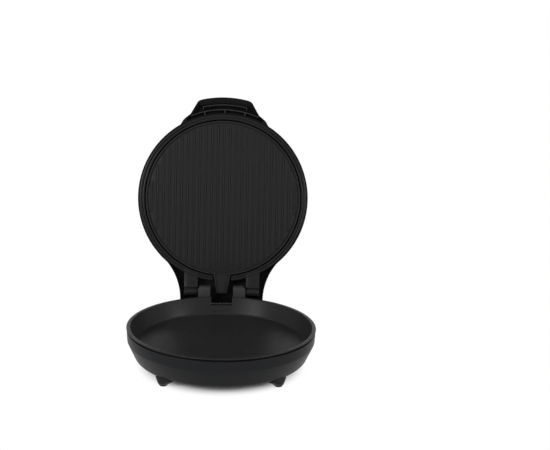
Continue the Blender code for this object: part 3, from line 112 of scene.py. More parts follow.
def block(low, high):
    """A box between two corners."""
    shape = bmesh.new()
    bmesh.ops.create_cube(shape, size=1)
    size = Vector(high) - Vector(low)
    bmesh.ops.scale(shape, verts=shape.verts, vec=size)
    bmesh.ops.translate(shape, verts=shape.verts, vec=Vector(low) + size / 2)
    return shape


def prism(outline, low, high, along_x=False):
    """A flat outline given thickness: in plan, or drawn in (y, z) and run along X."""
    shape = bmesh.new()
    face = shape.faces.new([shape.verts.new((x, y, low)) for x, y in outline])
    risen = bmesh.ops.extrude_face_region(shape, geom=[face])["geom"]
    moved = [part for part in risen if isinstance(part, bmesh.types.BMVert)]
    bmesh.ops.translate(shape, verts=moved, vec=(0, 0, high - low))
    if along_x:
        swap = Matrix(((0, 0, 1), (1, 0, 0), (0, 1, 0)))
        bmesh.ops.transform(shape, verts=shape.verts, matrix=swap.to_4x4())
    bmesh.ops.recalc_face_normals(shape, faces=shape.faces)
    return shape


def rod(radius, low, high, axis="Z", sides=48):
    """A round bar along one axis."""
    shape = bmesh.new()
    bmesh.ops.create_cone(shape, cap_ends=True, segments=sides, radius1=radius, radius2=radius,
                          depth=high - low)
    bmesh.ops.translate(shape, verts=shape.verts, vec=(0, 0, (low + high) / 2))
    if axis != "Z":
        swap = {"X": ((0, 0, 1), (1, 0, 0), (0, 1, 0)), "Y": ((1, 0, 0), (0, 0, 1), (0, -1, 0))}
        bmesh.ops.transform(shape, verts=shape.verts, matrix=Matrix(swap[axis]).to_4x4())
    bmesh.ops.recalc_face_normals(shape, faces=shape.faces)
    return shape


def soften(shape, reach, segments, chosen):
    """Rounds the edges whose two ends both pass a test."""
    edges = [edge for edge in shape.edges if chosen(edge.verts[0].co) and chosen(edge.verts[1].co)]
    bmesh.ops.bevel(shape, geom=edges, offset=reach, offset_type="OFFSET", segments=segments,
                    profile=0.5, affect="EDGES", material=-1, clamp_overlap=True)


def on_ring(radius, height):
    """A test for the ring of points at a radius and height."""
    return lambda spot: (abs(math.hypot(spot.x, spot.y) - radius) < NEAR / 10
                         and abs(spot.z - height) < NEAR / 10)


def solid(shape, name, place):
    """Puts a shape into an object, with its place in its mesh."""
    bmesh.ops.transform(shape, verts=shape.verts, matrix=place)
    mesh = bpy.data.meshes.new(name)
    shape.to_mesh(mesh)
    shape.free()
    made = bpy.data.objects.new(name, mesh)
    bpy.context.scene.collection.objects.link(made)
    return made


def merge(target, tool, operation="UNION"):
    """Welds a tool to a target, or cuts it away, and deletes the tool."""
    step = target.modifiers.new("weld", "BOOLEAN")
    step.operation = operation
    step.object = tool
    step.solver = "EXACT"
    bpy.context.view_layer.update()
    seen = target.evaluated_get(bpy.context.evaluated_depsgraph_get())
    mesh = bpy.data.meshes.new_from_object(seen)
    target.modifiers.clear()
    target.data = mesh
    bpy.data.objects.remove(tool)


def fit(made, body, slot, finish, *nodes):
    """Gives a finished piece its material, its body and the CAD nodes that it stands for."""
    made.data.materials.clear()
    made.data.materials.append(finish)
    made.data.shade_smooth()
    made.data.set_sharp_from_angle(angle=math.radians(32))
    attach(made, body)
    if nodes:
        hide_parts(*nodes)


def keep(node_name, finish):
    """Gives a CAD node that is shown as it is its material."""
    node = frame["nodes"][node_name]
    node.data.materials.clear()
    node.data.materials.append(finish)


def from_hex(colour):
    """An sRGB hex colour as linear red, green, blue and alpha."""
    shares = [int(colour[i:i + 2], 16) / 255 for i in (1, 3, 5)]
    return [s / 12.92 if s <= 0.04045 else ((s + 0.055) / 1.055) ** 2.4 for s in shares] + [1.0]


def add_node(material, kind, inputs=None, **settings):
    """Adds a shader node with its settings, and sets or links its inputs."""
    node = material.node_tree.nodes.new(kind)
    for name, value in settings.items():
        setattr(node, name, value)
    for name, value in (inputs or {}).items():
        if isinstance(value, bpy.types.NodeSocket):
            material.node_tree.links.new(value, node.inputs[name])
        else:
            node.inputs[name].default_value = value
    return node


def new_finish(name, roughness, **sockets):
    """A material with its shader and its pattern space, which is the object's own."""
    material = bpy.data.materials.new(name)
    material.use_nodes = True
    shader = material.node_tree.nodes["Principled BSDF"]
    shader.inputs["Roughness"].default_value = roughness
    for socket, value in sockets.items():
        shader.inputs[socket.replace("_", " ")].default_value = value
    return material, shader, add_node(material, "ShaderNodeTexCoord").outputs["Object"]


def two_tone(material, factor, dark, light, start=0.35, end=0.65):
    """A colour that goes from one tone to another as a pattern rises."""
    ramp = add_node(material, "ShaderNodeValToRGB", {"Fac": factor})
    ramp.color_ramp.elements[0].position = start
    ramp.color_ramp.elements[0].color = from_hex(dark)
    ramp.color_ramp.elements[1].position = end
    ramp.color_ramp.elements[1].color = from_hex(light)
    return ramp.outputs["Color"]


# The mould's spark-eroded grain is about 0.1 mm and is drawn at 0.5 mm, so that it shows. Its gloss
# changes in clouds about 35 mm wide.
GRAIN_SIZE = 0.0005
GRAIN_DEPTH = 0.00006
CLOUD_SIZE = 0.035


def moulded_black(name, dark, light, roughness, specular):
    """Black moulded plastic: matt from its grain, with a faint cloud in its gloss."""
    material, shader, space = new_finish(name, roughness, Specular_IOR_Level=specular)
    grain = add_node(material, "ShaderNodeTexNoise",
                     {"Vector": space, "Scale": 1 / GRAIN_SIZE, "Detail": 3.0})
    cloud = add_node(material, "ShaderNodeTexNoise",
                     {"Vector": space, "Scale": 1 / CLOUD_SIZE, "Detail": 2.0})
    bump = add_node(material, "ShaderNodeBump",
                    {"Height": grain.outputs["Fac"], "Strength": 0.35, "Distance": GRAIN_DEPTH})
    gloss = add_node(material, "ShaderNodeMapRange",
                     {"Value": cloud.outputs["Fac"], "From Min": 0.3, "From Max": 0.7,
                      "To Min": roughness - 0.015, "To Max": roughness + 0.02})
    links = material.node_tree.links
    links.new(two_tone(material, grain.outputs["Fac"], dark, light), shader.inputs["Base Color"])
    links.new(gloss.outputs["Result"], shader.inputs["Roughness"])
    links.new(bump.outputs["Normal"], shader.inputs["Normal"])
    return material


shell_plastic = moulded_black("moulded_polypropylene_black", "#18181a", "#202122", 0.42, 0.085)
# The posts' plastic is painted greyer than the shell, as painted light, and has more sheen.
post_plastic_painted_light = moulded_black("moulded_polypropylene_posts_painted_light", "#323233", "#3a3a3b", 0.42, 0.20)

body = spun([(0, HOUSING_TOP), (HOUSING_TOP_RADIUS, HOUSING_TOP), (BAND_FOOT_RADIUS, BAND_FOOT),
             (HOUSING_FOOT_RADIUS, HOUSING_FOOT), (0, HOUSING_FOOT)])
soften(body, HOUSING_TOP_EDGE, 3, on_ring(HOUSING_TOP_RADIUS, HOUSING_TOP))
soften(body, BAND_FOOT_EDGE, 3, on_ring(BAND_FOOT_RADIUS, BAND_FOOT))
soften(body, HOUSING_FOOT_ROUNDING, 10, on_ring(HOUSING_FOOT_RADIUS, HOUSING_FOOT))
housing = solid(body, "housing", stand)

bracket = block((-BRACKET_HALF_WIDTH, BRACKET_FRONT, HOUSING_FOOT),
                (BRACKET_HALF_WIDTH, BRACKET_BACK, DECK_TOP))
soften(bracket, BRACKET_CORNER, 8, lambda spot: spot.y > BRACKET_BACK - CUT)
soften(bracket, DECK_EDGE, 3, lambda spot: spot.z > DECK_TOP - NEAR and spot.y > BRACKET_FRONT)
merge(housing, solid(bracket, "bracket", stand))

inner_slope = (BAND_FOOT_RADIUS - HOUSING_FOOT_RADIUS) / (BAND_FOOT - HOUSING_FOOT)
inner_foot = HOUSING_FOOT_RADIUS + inner_slope * (LEDGE[1] - HOUSING_FOOT) - HOUSING_WALL
cavity = spun([
    (0, HOUSING_TOP + CUT), (HOUSING_TOP_RADIUS - HOUSING_LIP, HOUSING_TOP + CUT),
    (HOUSING_TOP_RADIUS - HOUSING_LIP, HOUSING_TOP - LIP_DEPTHS[0]),
    (HOUSING_TOP_RADIUS - HOUSING_WALL, HOUSING_TOP - LIP_DEPTHS[1]),
    (BAND_FOOT_RADIUS - HOUSING_WALL, BAND_FOOT), (inner_foot, LEDGE[1]), (LEDGE_RADIUS, LEDGE[1]),
    (LEDGE_RADIUS, LEDGE[0]), (COVER_SEAT_RADIUS, LEDGE[0]), (COVER_SEAT_RADIUS, HOUSING_FOOT - CUT),
    (0, HOUSING_FOOT - CUT)])
bmesh.ops.rotate(cavity, verts=cavity.verts, matrix=Matrix.Rotation(math.pi / ROUND_STEPS, 3, "Z"))
hollow = block((HOUSING_WALL - BRACKET_HALF_WIDTH, BRACKET_FRONT, HOUSING_FOOT - CUT / 2),
               (BRACKET_HALF_WIDTH - HOUSING_WALL, BRACKET_BACK - HOUSING_WALL, DECK_TOP - HOUSING_WALL))
soften(hollow, BRACKET_ROOM_CORNER, 6, lambda spot: spot.y > BRACKET_BACK - CUT)
room = solid(cavity, "housing_room", stand)
merge(room, solid(hollow, "bracket_room", stand))
merge(housing, room, "DIFFERENCE")

for side in (-1, 1):
    post = block((POST_SIDES[0], POST_DEPTH[0], DECK_TOP - hinge[2] - HOUSING_WALL / 2),
                 (POST_SIDES[1], POST_DEPTH[1], POST_TOP))
    soften(post, POST_CHAMFER, 1, lambda spot: spot.z > POST_TOP - NEAR and spot.x > POST_SIDES[1] - NEAR)
    soften(post, POST_EDGE, 2, lambda spot: True)
    bore = rod(PIN_BORE_RADIUS, POST_SIDES[0] + POST_BORE_WALL, POST_SIDES[1] + CUT, "X")
    for part in (post, bore):
        if side < 0:
            bmesh.ops.scale(part, verts=part.verts, vec=(-1, 1, 1))
            bmesh.ops.reverse_faces(part, faces=part.faces)
    post = solid(post, "hinge_post_left" if side < 0 else "hinge_post_right", at_hinge)
    merge(post, solid(bore, "bore", at_hinge), "DIFFERENCE")
    fit(post, "base", "black_plastic", post_plastic_painted_light, "base_housing")

notch = block((-NOTCH_HALF_WIDTH - NOTCH_CLEARANCE, HOUSING_TOP_RADIUS - 2 * HOUSING_WALL, NOTCH_BOTTOM),
              (NOTCH_HALF_WIDTH + NOTCH_CLEARANCE, HOUSING_TOP_RADIUS + CUT, HOUSING_TOP + CUT))
merge(housing, solid(notch, "notch", stand), "DIFFERENCE")
gland_place = stand @ Matrix.Translation((GLAND_PLACE[0], BRACKET_BACK, GLAND_PLACE[1]))
gland_hole = rod(GLAND_HOLE_RADIUS, -HOUSING_WALL - CUT, CUT, "Y")
merge(housing, solid(gland_hole, "gland_hole", gland_place), "DIFFERENCE")
fit(housing, "base", "black_plastic", shell_plastic, "base_housing")


# Bottom cover. A flat lid of the same plastic that closes the housing from below, with ten radial
# vents. It is screwed up against bosses in the housing.
keep("bottom_cover", shell_plastic)


# Screws. Pan-head screws with a cross recess, cold headed from wire. Four zinc-plated ones hold the
# bottom cover and three the heat shield in the lid. Two blackened ones hold the handle's liner.
SCREW_HEAD_RADIUS = 0.0034
SCREW_HEAD_HEIGHT = 0.0018
SCREW_HEAD_ROUNDING = 0.0012
SCREW_RADIUS = 0.0015
SCREW_TIP = 0.0006
RECESS_HALF_WIDTH = 0.0004
RECESS_REACH = 0.0018
RECESS_DEPTH = 0.001
SCREW_SIDES = 32


def speckled(name, roughness, size, detail, dark, light, **sockets):
    """A finish whose colour goes between two tones in specks of one size."""
    material, shader, space = new_finish(name, roughness, **sockets)
    specks = add_node(material, "ShaderNodeTexNoise",
                      {"Vector": space, "Scale": 1 / size, "Detail": detail})
    tone = two_tone(material, specks.outputs["Fac"], dark, light)
    material.node_tree.links.new(tone, shader.inputs["Base Color"])
    return material


# Zinc gives a dull grey shine with faint stains of about 2 mm. Phosphate gives a dark skin with hardly
# any shine; its crystals, some 0.02 mm long, are drawn at 0.6 mm.
plated_steel = speckled("zinc_plated_steel", 0.34, 0.002, 4.0, "#85857f", "#a5a5a2", Metallic=1.0)
black_steel = speckled("black_phosphated_steel", 0.55, 0.0006, 3.0, "#0c0c0d", "#151516", Metallic=1.0)


def screw(name, length, place, body, node, finish=plated_steel):
    """A screw with its head at the origin and its shank up +Z."""
    shape = spun([(0, -SCREW_HEAD_HEIGHT), (SCREW_HEAD_RADIUS, -SCREW_HEAD_HEIGHT),
                  (SCREW_HEAD_RADIUS, 0), (SCREW_RADIUS, 0), (SCREW_RADIUS, length), (0, length)],
                 SCREW_SIDES)
    soften(shape, SCREW_HEAD_ROUNDING, 4, on_ring(SCREW_HEAD_RADIUS, -SCREW_HEAD_HEIGHT))
    soften(shape, SCREW_TIP, 2, on_ring(SCREW_RADIUS, length))
    made = solid(shape, name, place)
    for turn in (0, 90):
        slot = block((-RECESS_HALF_WIDTH, -RECESS_REACH, -SCREW_HEAD_HEIGHT - RECESS_DEPTH),
                     (RECESS_HALF_WIDTH, RECESS_REACH, -SCREW_HEAD_HEIGHT + RECESS_DEPTH))
        bmesh.ops.rotate(slot, verts=slot.verts, matrix=Matrix.Rotation(math.radians(turn), 3, "Z"))
        merge(made, solid(slot, "recess", place), "DIFFERENCE")
    fit(made, body, "dull_steel", finish, node)


for number in range(1, 5):
    low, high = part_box(f"cover_screw_{number}")
    seat = Matrix.Translation(((low.x + high.x) / 2, (low.y + high.y) / 2, low.z + SCREW_HEAD_HEIGHT))
    length = high.z - low.z - SCREW_HEAD_HEIGHT
    screw(f"cover_screw_{number}", length, seat, "base", f"cover_screw_{number}")


# Feet. The two front feet are moulded with a low fairing that follows the housing's edge, and the two
# at the back are plain cones under the bracket. Each stands on a glued rubber pad.
FOOT_SIDES = 48
FRONT_FOOT = (0.095, 0.103)
REAR_FOOT = (0.058, 0.168)
REAR_FOOT_RADII = (0.0090, 0.0125)
REAR_FOOT_EDGE = 0.001
FOOT_BASE = 0.0023
FOOT_CLEARANCE = 0.0003
FOOT_TOP = HOUSING_FOOT - FOOT_CLEARANCE
PAD_RADIUS = 0.0070
PAD_HEIGHT = 0.002
PAD_ROUNDING = 0.0014

# Rings of a front foot: half its length, half its width, its shift inwards, its height.
FRONT_FOOT_RINGS = (
    (0.0074, 0.0074, 0, FOOT_BASE), (0.0096, 0.0092, 0.0006, 0.0040), (0.0131, 0.0104, 0.0019, 0.0072),
    (0.0168, 0.0109, 0.0032, 0.0102), (0.0205, 0.0105, 0.0045, 0.0130), (0.0205, 0.0085, 0.0045, 0.0190),
    (0.0205, 0.0058, 0.0045, 0.0250))

# Rubber is dull, with a dusting of lighter specks a little over 1 mm wide.
rubber = speckled("black_rubber", 0.78, 0.0012, 5.0, "#101010", "#1d1d1d", Specular_IOR_Level=0.3)

foot_bearing = math.atan2(*FRONT_FOOT)
for side, name in ((-1, "left"), (1, "right")):
    foot = bmesh.new()
    rings = []
    for along, across, shift, height in FRONT_FOOT_RINGS:
        ring = bmesh.ops.create_circle(foot, segments=FOOT_SIDES, radius=1)["verts"]
        place = (Matrix.Translation((side * (FRONT_FOOT[0] - shift * math.cos(foot_bearing)),
                                     -FRONT_FOOT[1] - shift * math.sin(foot_bearing), height))
                 @ Matrix.Rotation(side * foot_bearing, 4, "Z") @ Matrix.Diagonal((along, across, 1, 1)))
        bmesh.ops.transform(foot, verts=ring, matrix=place)
        rings.append(list({edge for corner in ring for edge in corner.link_edges}))
    for below, above in zip(rings, rings[1:]):
        bmesh.ops.bridge_loops(foot, edges=below + above)
    bmesh.ops.holes_fill(foot, edges=foot.edges, sides=0)
    bmesh.ops.recalc_face_normals(foot, faces=foot.faces)
    foot = solid(foot, f"front_foot_{name}", stand)
    above = spun([(0, BAND_FOOT), (BAND_FOOT_RADIUS + FOOT_CLEARANCE, BAND_FOOT),
                  (HOUSING_FOOT_RADIUS + FOOT_CLEARANCE, FOOT_TOP), (0, FOOT_TOP)])
    soften(above, HOUSING_FOOT_ROUNDING, 10, on_ring(HOUSING_FOOT_RADIUS + FOOT_CLEARANCE, FOOT_TOP))
    merge(foot, solid(above, "housing_outside", stand), "DIFFERENCE")
    fit(foot, "base", "black_plastic", shell_plastic, f"foot_front_{name}")

    foot = spun([(0, FOOT_TOP), (REAR_FOOT_RADII[1], FOOT_TOP), (REAR_FOOT_RADII[0], FOOT_BASE),
                 (0, FOOT_BASE)], FOOT_SIDES)
    soften(foot, REAR_FOOT_EDGE, 3, on_ring(REAR_FOOT_RADII[0], FOOT_BASE))
    rear_place = stand @ Matrix.Translation((side * REAR_FOOT[0], REAR_FOOT[1], 0))
    front_place = stand @ Matrix.Translation((side * FRONT_FOOT[0], -FRONT_FOOT[1], 0))
    foot = solid(foot, f"rear_foot_{name}", rear_place)
    fit(foot, "base", "black_plastic", shell_plastic, f"foot_rear_{name}")
    for end, place in (("front", front_place), ("rear", rear_place)):
        pad = rod(PAD_RADIUS, 0, PAD_HEIGHT, sides=FOOT_SIDES)
        soften(pad, PAD_ROUNDING, 5, lambda spot: spot.z < NEAR)
        pad = solid(pad, f"{end}_pad_{name}", place)
        fit(pad, "base", "black_rubber", rubber, f"foot_pad_{end}_{name}")


# Baking pan. Cast aluminium with a flange that covers the housing's top and a notch at the back for
# the lid's tongue. Its sprayed and baked non-stick coat is dark grey, with a granular skin.
PAN_RIM = 0.070
PAN_RIM_RADIUS = 0.1584
PAN_RIM_EDGE = 0.0006
PAN_FLOOR = 0.040
PAN_FLOOR_RADIUS = 0.1465
PAN_FLOOR_FILLET = 0.0028
PAN_WALL = 0.0025
PAN_UNDERSIDE = 0.036
PAN_UNDERSIDE_ROUNDING = 0.0050
FLANGE_RADIUS = 0.1650
FLANGE_EDGE = 0.0010
FLANGE_FOOT = 0.0685
FLANGE_FOOT_EDGE = 0.0004

# The coat's grit is about 0.3 mm and is drawn at 1.1 mm, so that it shows as a faint mottle. Its
# gloss changes in swirls about 28 mm wide, left by the spray.
GRIT_SIZE = 0.0011
GRIT_DEPTH = 0.00016
SWIRL_SIZE = 0.028

coating, shader, space = new_finish("nonstick_coating", 0.36, Specular_IOR_Level=0.10)
grit = add_node(coating, "ShaderNodeTexNoise",
                {"Vector": space, "Scale": 1 / GRIT_SIZE, "Detail": 4.0, "Roughness": 0.62})
swirl = add_node(coating, "ShaderNodeTexNoise", {"Vector": space, "Scale": 1 / SWIRL_SIZE, "Detail": 3.0})
bump = add_node(coating, "ShaderNodeBump",
                {"Height": grit.outputs["Fac"], "Strength": 0.55, "Distance": GRIT_DEPTH})
gloss = add_node(coating, "ShaderNodeMapRange",
                 {"Value": swirl.outputs["Fac"], "From Min": 0.3, "From Max": 0.7,
                  "To Min": 0.32, "To Max": 0.40})
tone = two_tone(coating, grit.outputs["Fac"], "#19191a", "#2b2b2c")
coating.node_tree.links.new(tone, shader.inputs["Base Color"])
coating.node_tree.links.new(gloss.outputs["Result"], shader.inputs["Roughness"])
coating.node_tree.links.new(bump.outputs["Normal"], shader.inputs["Normal"])

pan = spun([
    (0, PAN_FLOOR), (PAN_FLOOR_RADIUS, PAN_FLOOR), (PAN_RIM_RADIUS, PAN_RIM), (FLANGE_RADIUS, PAN_RIM),
    (FLANGE_RADIUS, FLANGE_FOOT), (PAN_RIM_RADIUS + PAN_WALL, FLANGE_FOOT),
    (PAN_FLOOR_RADIUS + PAN_WALL, PAN_UNDERSIDE), (0, PAN_UNDERSIDE)])
soften(pan, PAN_FLOOR_FILLET, 8, on_ring(PAN_FLOOR_RADIUS, PAN_FLOOR))
soften(pan, PAN_RIM_EDGE, 3, on_ring(PAN_RIM_RADIUS, PAN_RIM))
soften(pan, FLANGE_EDGE, 5, on_ring(FLANGE_RADIUS, PAN_RIM))
soften(pan, FLANGE_FOOT_EDGE, 2, on_ring(FLANGE_RADIUS, FLANGE_FOOT))
soften(pan, PAN_UNDERSIDE_ROUNDING, 6, on_ring(PAN_FLOOR_RADIUS + PAN_WALL, PAN_UNDERSIDE))
baking_pan = solid(pan, "baking_pan_coated", stand)
notch = block((-NOTCH_HALF_WIDTH, PAN_FLOOR_RADIUS, NOTCH_BOTTOM),
              (NOTCH_HALF_WIDTH, FLANGE_RADIUS + CUT, PAN_RIM + CUT))
merge(baking_pan, solid(notch, "notch", stand), "DIFFERENCE")
fit(baking_pan, "base", "nonstick_coating", coating, "baking_pan")


# Heaters. Tubular elements in dull steel sheaths, held by pressed clamps of bright rolled sheet, with
# heat shields of the same sheet, and glazed ceramic thermostats, thermal fuses and terminal block.
ROLLING_WIDTH = 0.0008
ROLLING_STRETCH = 0.03

# Rolled sheet is bright. Its rolling lines are about 0.2 mm wide and are drawn at 0.8 mm.
rolled_steel, shader, space = new_finish("rolled_steel_sheet", 0.30, Metallic=1.0)
stretched = add_node(rolled_steel, "ShaderNodeMapping",
                     {"Vector": space, "Scale": (1.0, ROLLING_STRETCH, 1.0)})
rolling = add_node(rolled_steel, "ShaderNodeTexNoise",
                   {"Vector": stretched.outputs["Vector"], "Scale": 1 / ROLLING_WIDTH, "Detail": 3.0})
tone = two_tone(rolled_steel, rolling.outputs["Fac"], "#b4b5b6", "#c9cacb")
rolled_steel.node_tree.links.new(tone, shader.inputs["Base Color"])

# Heat leaves brownish clouds about 12 mm wide on the tubes. The ceramic is off-white and shiny, with a
# faint 3 mm mottle in its glaze.
heated_steel = speckled("heat_tinted_steel_tube", 0.45, 0.012, 4.0, "#6d6a66", "#8f8d8a", Metallic=1.0)
ceramic = speckled("glazed_steatite_ceramic", 0.22, 0.003, 3.0, "#d6d3c9", "#e0ded6")

for level in ("lower", "upper"):
    keep(f"{level}_element", heated_steel)
    keep(f"{level}_element_clamp", rolled_steel)
    keep(f"{level}_heat_shield", rolled_steel)
    keep(f"{level}_thermostat", ceramic)
    keep(f"{level}_thermal_fuse", ceramic)
keep("terminal_block", ceramic)


# Cord gland. A soft rubber bush pressed into the bracket's back, where the lead would leave: a flange
# outside the wall, a neck in the wall's hole, and a blind bore.
GLAND_FLANGE_RADIUS = 0.0100
GLAND_FLANGE = (0.0003, 0.0028)
GLAND_FLANGE_ROUNDING = 0.0012
GLAND_NECK_RADIUS = 0.0068
GLAND_NECK_END = -0.0112
GLAND_BORE_RADIUS = 0.0036
GLAND_BORE_END = -0.0072
GLAND_MOUTH = 0.0008
GLAND_SIDES = 64

gland = spun([
    (0, GLAND_BORE_END), (GLAND_BORE_RADIUS, GLAND_BORE_END), (GLAND_BORE_RADIUS, GLAND_FLANGE[1]),
    (GLAND_FLANGE_RADIUS, GLAND_FLANGE[1]), (GLAND_FLANGE_RADIUS, GLAND_FLANGE[0]),
    (GLAND_NECK_RADIUS, GLAND_FLANGE[0]), (GLAND_NECK_RADIUS, GLAND_NECK_END), (0, GLAND_NECK_END)],
    GLAND_SIDES)
soften(gland, GLAND_FLANGE_ROUNDING, 4, on_ring(GLAND_FLANGE_RADIUS, GLAND_FLANGE[1]))
soften(gland, GLAND_MOUTH, 3, on_ring(GLAND_BORE_RADIUS, GLAND_FLANGE[1]))
turn_back = Matrix.Rotation(math.radians(-90), 4, "X")
gland = solid(gland, "cord_gland_rubber", gland_place @ turn_back)
fit(gland, "base", "black_rubber", rubber, "cord_gland")


# Hinge pins. Two blackened steel pins, turned, with chamfered ends. Each is captive between a post
# and a knuckle.
PIN_CHAMFER = 0.0004

for name in ("left", "right"):
    low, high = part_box(f"hinge_pin_{name}")
    pin = rod(PIN_RADIUS, low.x, high.x, "X")
    soften(pin, PIN_CHAMFER, 1, lambda spot: min(abs(spot.x - low.x), abs(spot.x - high.x)) < NEAR)
    pin = solid(pin, f"hinge_pin_{name}_turned", at_hinge)
    fit(pin, "base", "dull_steel", black_steel, f"hinge_pin_{name}")


# Lid frame. The ring that holds the heating plate, moulded in black polypropylene: a bead round the
# plate, a groove, then a slightly crowned band. Two arms at its back end in the hinge's knuckles, with
# a beaded ledge and a groove before each barrel.
OPEN_ANGLE = 102.0
FACE = -0.0012
RING_TOP = FACE + 0.0075
RING_INNER_RADIUS = 0.1525
RING_RADIUS = 0.1625
OPENING_HALF_WIDTH = 0.0177
OPENING_ENDS = (0.1485, 0.169)
KNUCKLE_OUTER = -0.0730
KNUCKLE_INNER = -0.0472
KNUCKLE_LEDGE = -0.0088
KNUCKLE_EDGE = 0.0005
KNUCKLE_BORE_WALL = 0.0017
LEDGE_GROOVE = 0.0020
BEAD_RADIUS = 0.0012
BEAD_TURN = (199.5, 360)
BARREL_RADIUS = 0.0065
BARREL_TURN = (162.1, 478.7)
ARM_FACE = FACE + 0.00015
ARM_BACK = 0.0057
ARM_END = -0.038
ARM_END_SLANT = 0.007

# The ring's face from its outer edge inwards: radius, and depth under the lid's face.
RING_FACE = (
    (RING_RADIUS, 0.0008), (0.1612, 0), (0.1600, -0.0001), (0.1588, 0), (0.1583, 0.0003), (0.1579, 0.0024),
    (0.1564, 0.0024), (0.1560, 0.0002), (0.1552, -0.0002), (0.1542, -0.0003), (0.1532, 0),
    (RING_INNER_RADIUS, 0.0008))


def arc(centre_x, centre_y, radius, start, end, steps):
    """Points on a circle from one angle in degrees to another."""
    turns = [math.radians(start + (end - start) * step / steps) for step in range(steps + 1)]
    return [(centre_x + radius * math.cos(turn), centre_y + radius * math.sin(turn)) for turn in turns]


about_hinge = at_hinge @ Matrix.Rotation(math.radians(-OPEN_ANGLE), 4, "X")
in_lid = about_hinge @ Matrix.Translation((0, -HINGE_BEHIND_PAN, 0))

# This moulding is smoother than the housing, so its edges catch the light.
frame_plastic = moulded_black("moulded_polypropylene_lid_frame", "#171718", "#202021", 0.30, 0.12)

ring = spun([(RING_INNER_RADIUS, RING_TOP), (RING_RADIUS, RING_TOP)]
            + [(radius, FACE + depth) for radius, depth in RING_FACE])
lid_frame = solid(ring, "lid_frame_moulding", in_lid)
opening = block((-OPENING_HALF_WIDTH, OPENING_ENDS[0], FACE - CUT),
                (OPENING_HALF_WIDTH, OPENING_ENDS[1], RING_TOP + CUT))
merge(lid_frame, solid(opening, "opening", in_lid), "DIFFERENCE")
fit(lid_frame, "lid", "black_plastic_inner", frame_plastic, "lid_frame")

bead = arc(KNUCKLE_LEDGE - BEAD_RADIUS, ARM_FACE + BEAD_RADIUS / 3, BEAD_RADIUS, *BEAD_TURN, 8)
side_view = [(ARM_END, ARM_FACE), *bead, (KNUCKLE_LEDGE, LEDGE_GROOVE),
             *arc(0, 0, BARREL_RADIUS, *BARREL_TURN, 44), (ARM_END, ARM_BACK)]
profile = prism(side_view, KNUCKLE_OUTER, KNUCKLE_INNER, along_x=True)
for corner in profile.verts:
    if corner.co.y < ARM_END + NEAR:
        share = (corner.co.x - KNUCKLE_INNER) / (KNUCKLE_INNER - KNUCKLE_OUTER)
        corner.co.y += ARM_END_SLANT * share
soften(profile, KNUCKLE_EDGE, 2,
       lambda spot: min(abs(spot.x - KNUCKLE_OUTER), abs(spot.x - KNUCKLE_INNER)) < NEAR)
bmesh.ops.remove_doubles(profile, verts=profile.verts, dist=0.00003)
bore = rod(PIN_BORE_RADIUS, KNUCKLE_OUTER + KNUCKLE_BORE_WALL, KNUCKLE_INNER + CUT, "X")
knuckle = solid(profile, "hinge_knuckle_left", about_hinge)
merge(knuckle, solid(bore, "bore", about_hinge), "DIFFERENCE")
twin = bpy.data.objects.new("hinge_knuckle_right", knuckle.data.copy())
twin.data.transform(Matrix.Diagonal((-1, 1, 1, 1)))
twin.data.flip_normals()
bpy.context.scene.collection.objects.link(twin)
for made in (knuckle, twin):
    fit(made, "lid", "black_plastic_inner", frame_plastic, "lid_frame")


# Heating plate. Cast aluminium with the pan's non-stick coat: a raised rim, a sunk moat inside it and
# 25 rounded ribs between fine troughs, which mark the crust. At the back a tongue with raised sides
# covers the leads.
PLATE_RADIUS = 0.1503
PLATE_RIM_FACE = FACE + 0.0004
PLATE_RIM_EDGE = 0.0007
PLATE_RIM_INNER_RADIUS = 0.1474
PLATE_RIM_INNER_EDGE = 0.0004
PLATE_FACE = PLATE_RIM_FACE + 0.0015
PLATE_BACK = PLATE_FACE + 0.0035
PLATE_BACK_EDGE = 0.0006
MOAT_RADII = (0.1469, 0.1454, 0.1448)
MOAT_DEPTH = 0.0014
MOAT_EDGE = 0.0003
RIBS_EACH_SIDE = 12
RIB_PITCH = 0.0116
RIB_END_RADIUS = 0.1425
RIB_WIDTH = 0.0024
RIB_HEIGHT = 0.0015
RIB_ROOT = 0.0015
RIB_ROUNDING = 0.0007
TROUGH_WIDTH = 0.0008
TROUGH_DEPTH = 0.0006
TONGUE_PLAN = ((-0.0165, -0.0352), (0.0165, -0.0352), (0.0099, 0.0016), (-0.0099, 0.0016))
TONGUE_RISE = 0.0026
TONGUE_BACK = PLATE_BACK - 0.0012
TONGUE_EDGE = 0.0006
CHANNEL_PLAN = ((-0.0148, -0.0392), (0.0148, -0.0392), (0.0082, -0.0001), (-0.0082, -0.0001))
CHANNEL_FLOOR = PLATE_RIM_FACE + 0.0010

plate_shape = spun([
    (0, PLATE_BACK), (PLATE_RADIUS, PLATE_BACK), (PLATE_RADIUS, PLATE_RIM_FACE),
    (PLATE_RIM_INNER_RADIUS, PLATE_RIM_FACE), (MOAT_RADII[0], PLATE_FACE + MOAT_DEPTH),
    (MOAT_RADII[1], PLATE_FACE + MOAT_DEPTH), (MOAT_RADII[2], PLATE_FACE), (0, PLATE_FACE)])
soften(plate_shape, PLATE_BACK_EDGE, 3, on_ring(PLATE_RADIUS, PLATE_BACK))
soften(plate_shape, PLATE_RIM_EDGE, 3, on_ring(PLATE_RADIUS, PLATE_RIM_FACE))
soften(plate_shape, PLATE_RIM_INNER_EDGE, 2, on_ring(PLATE_RIM_INNER_RADIUS, PLATE_RIM_FACE))
soften(plate_shape, MOAT_EDGE, 2, on_ring(MOAT_RADII[2], PLATE_FACE))
plate = solid(plate_shape, "heating_plate", in_lid)


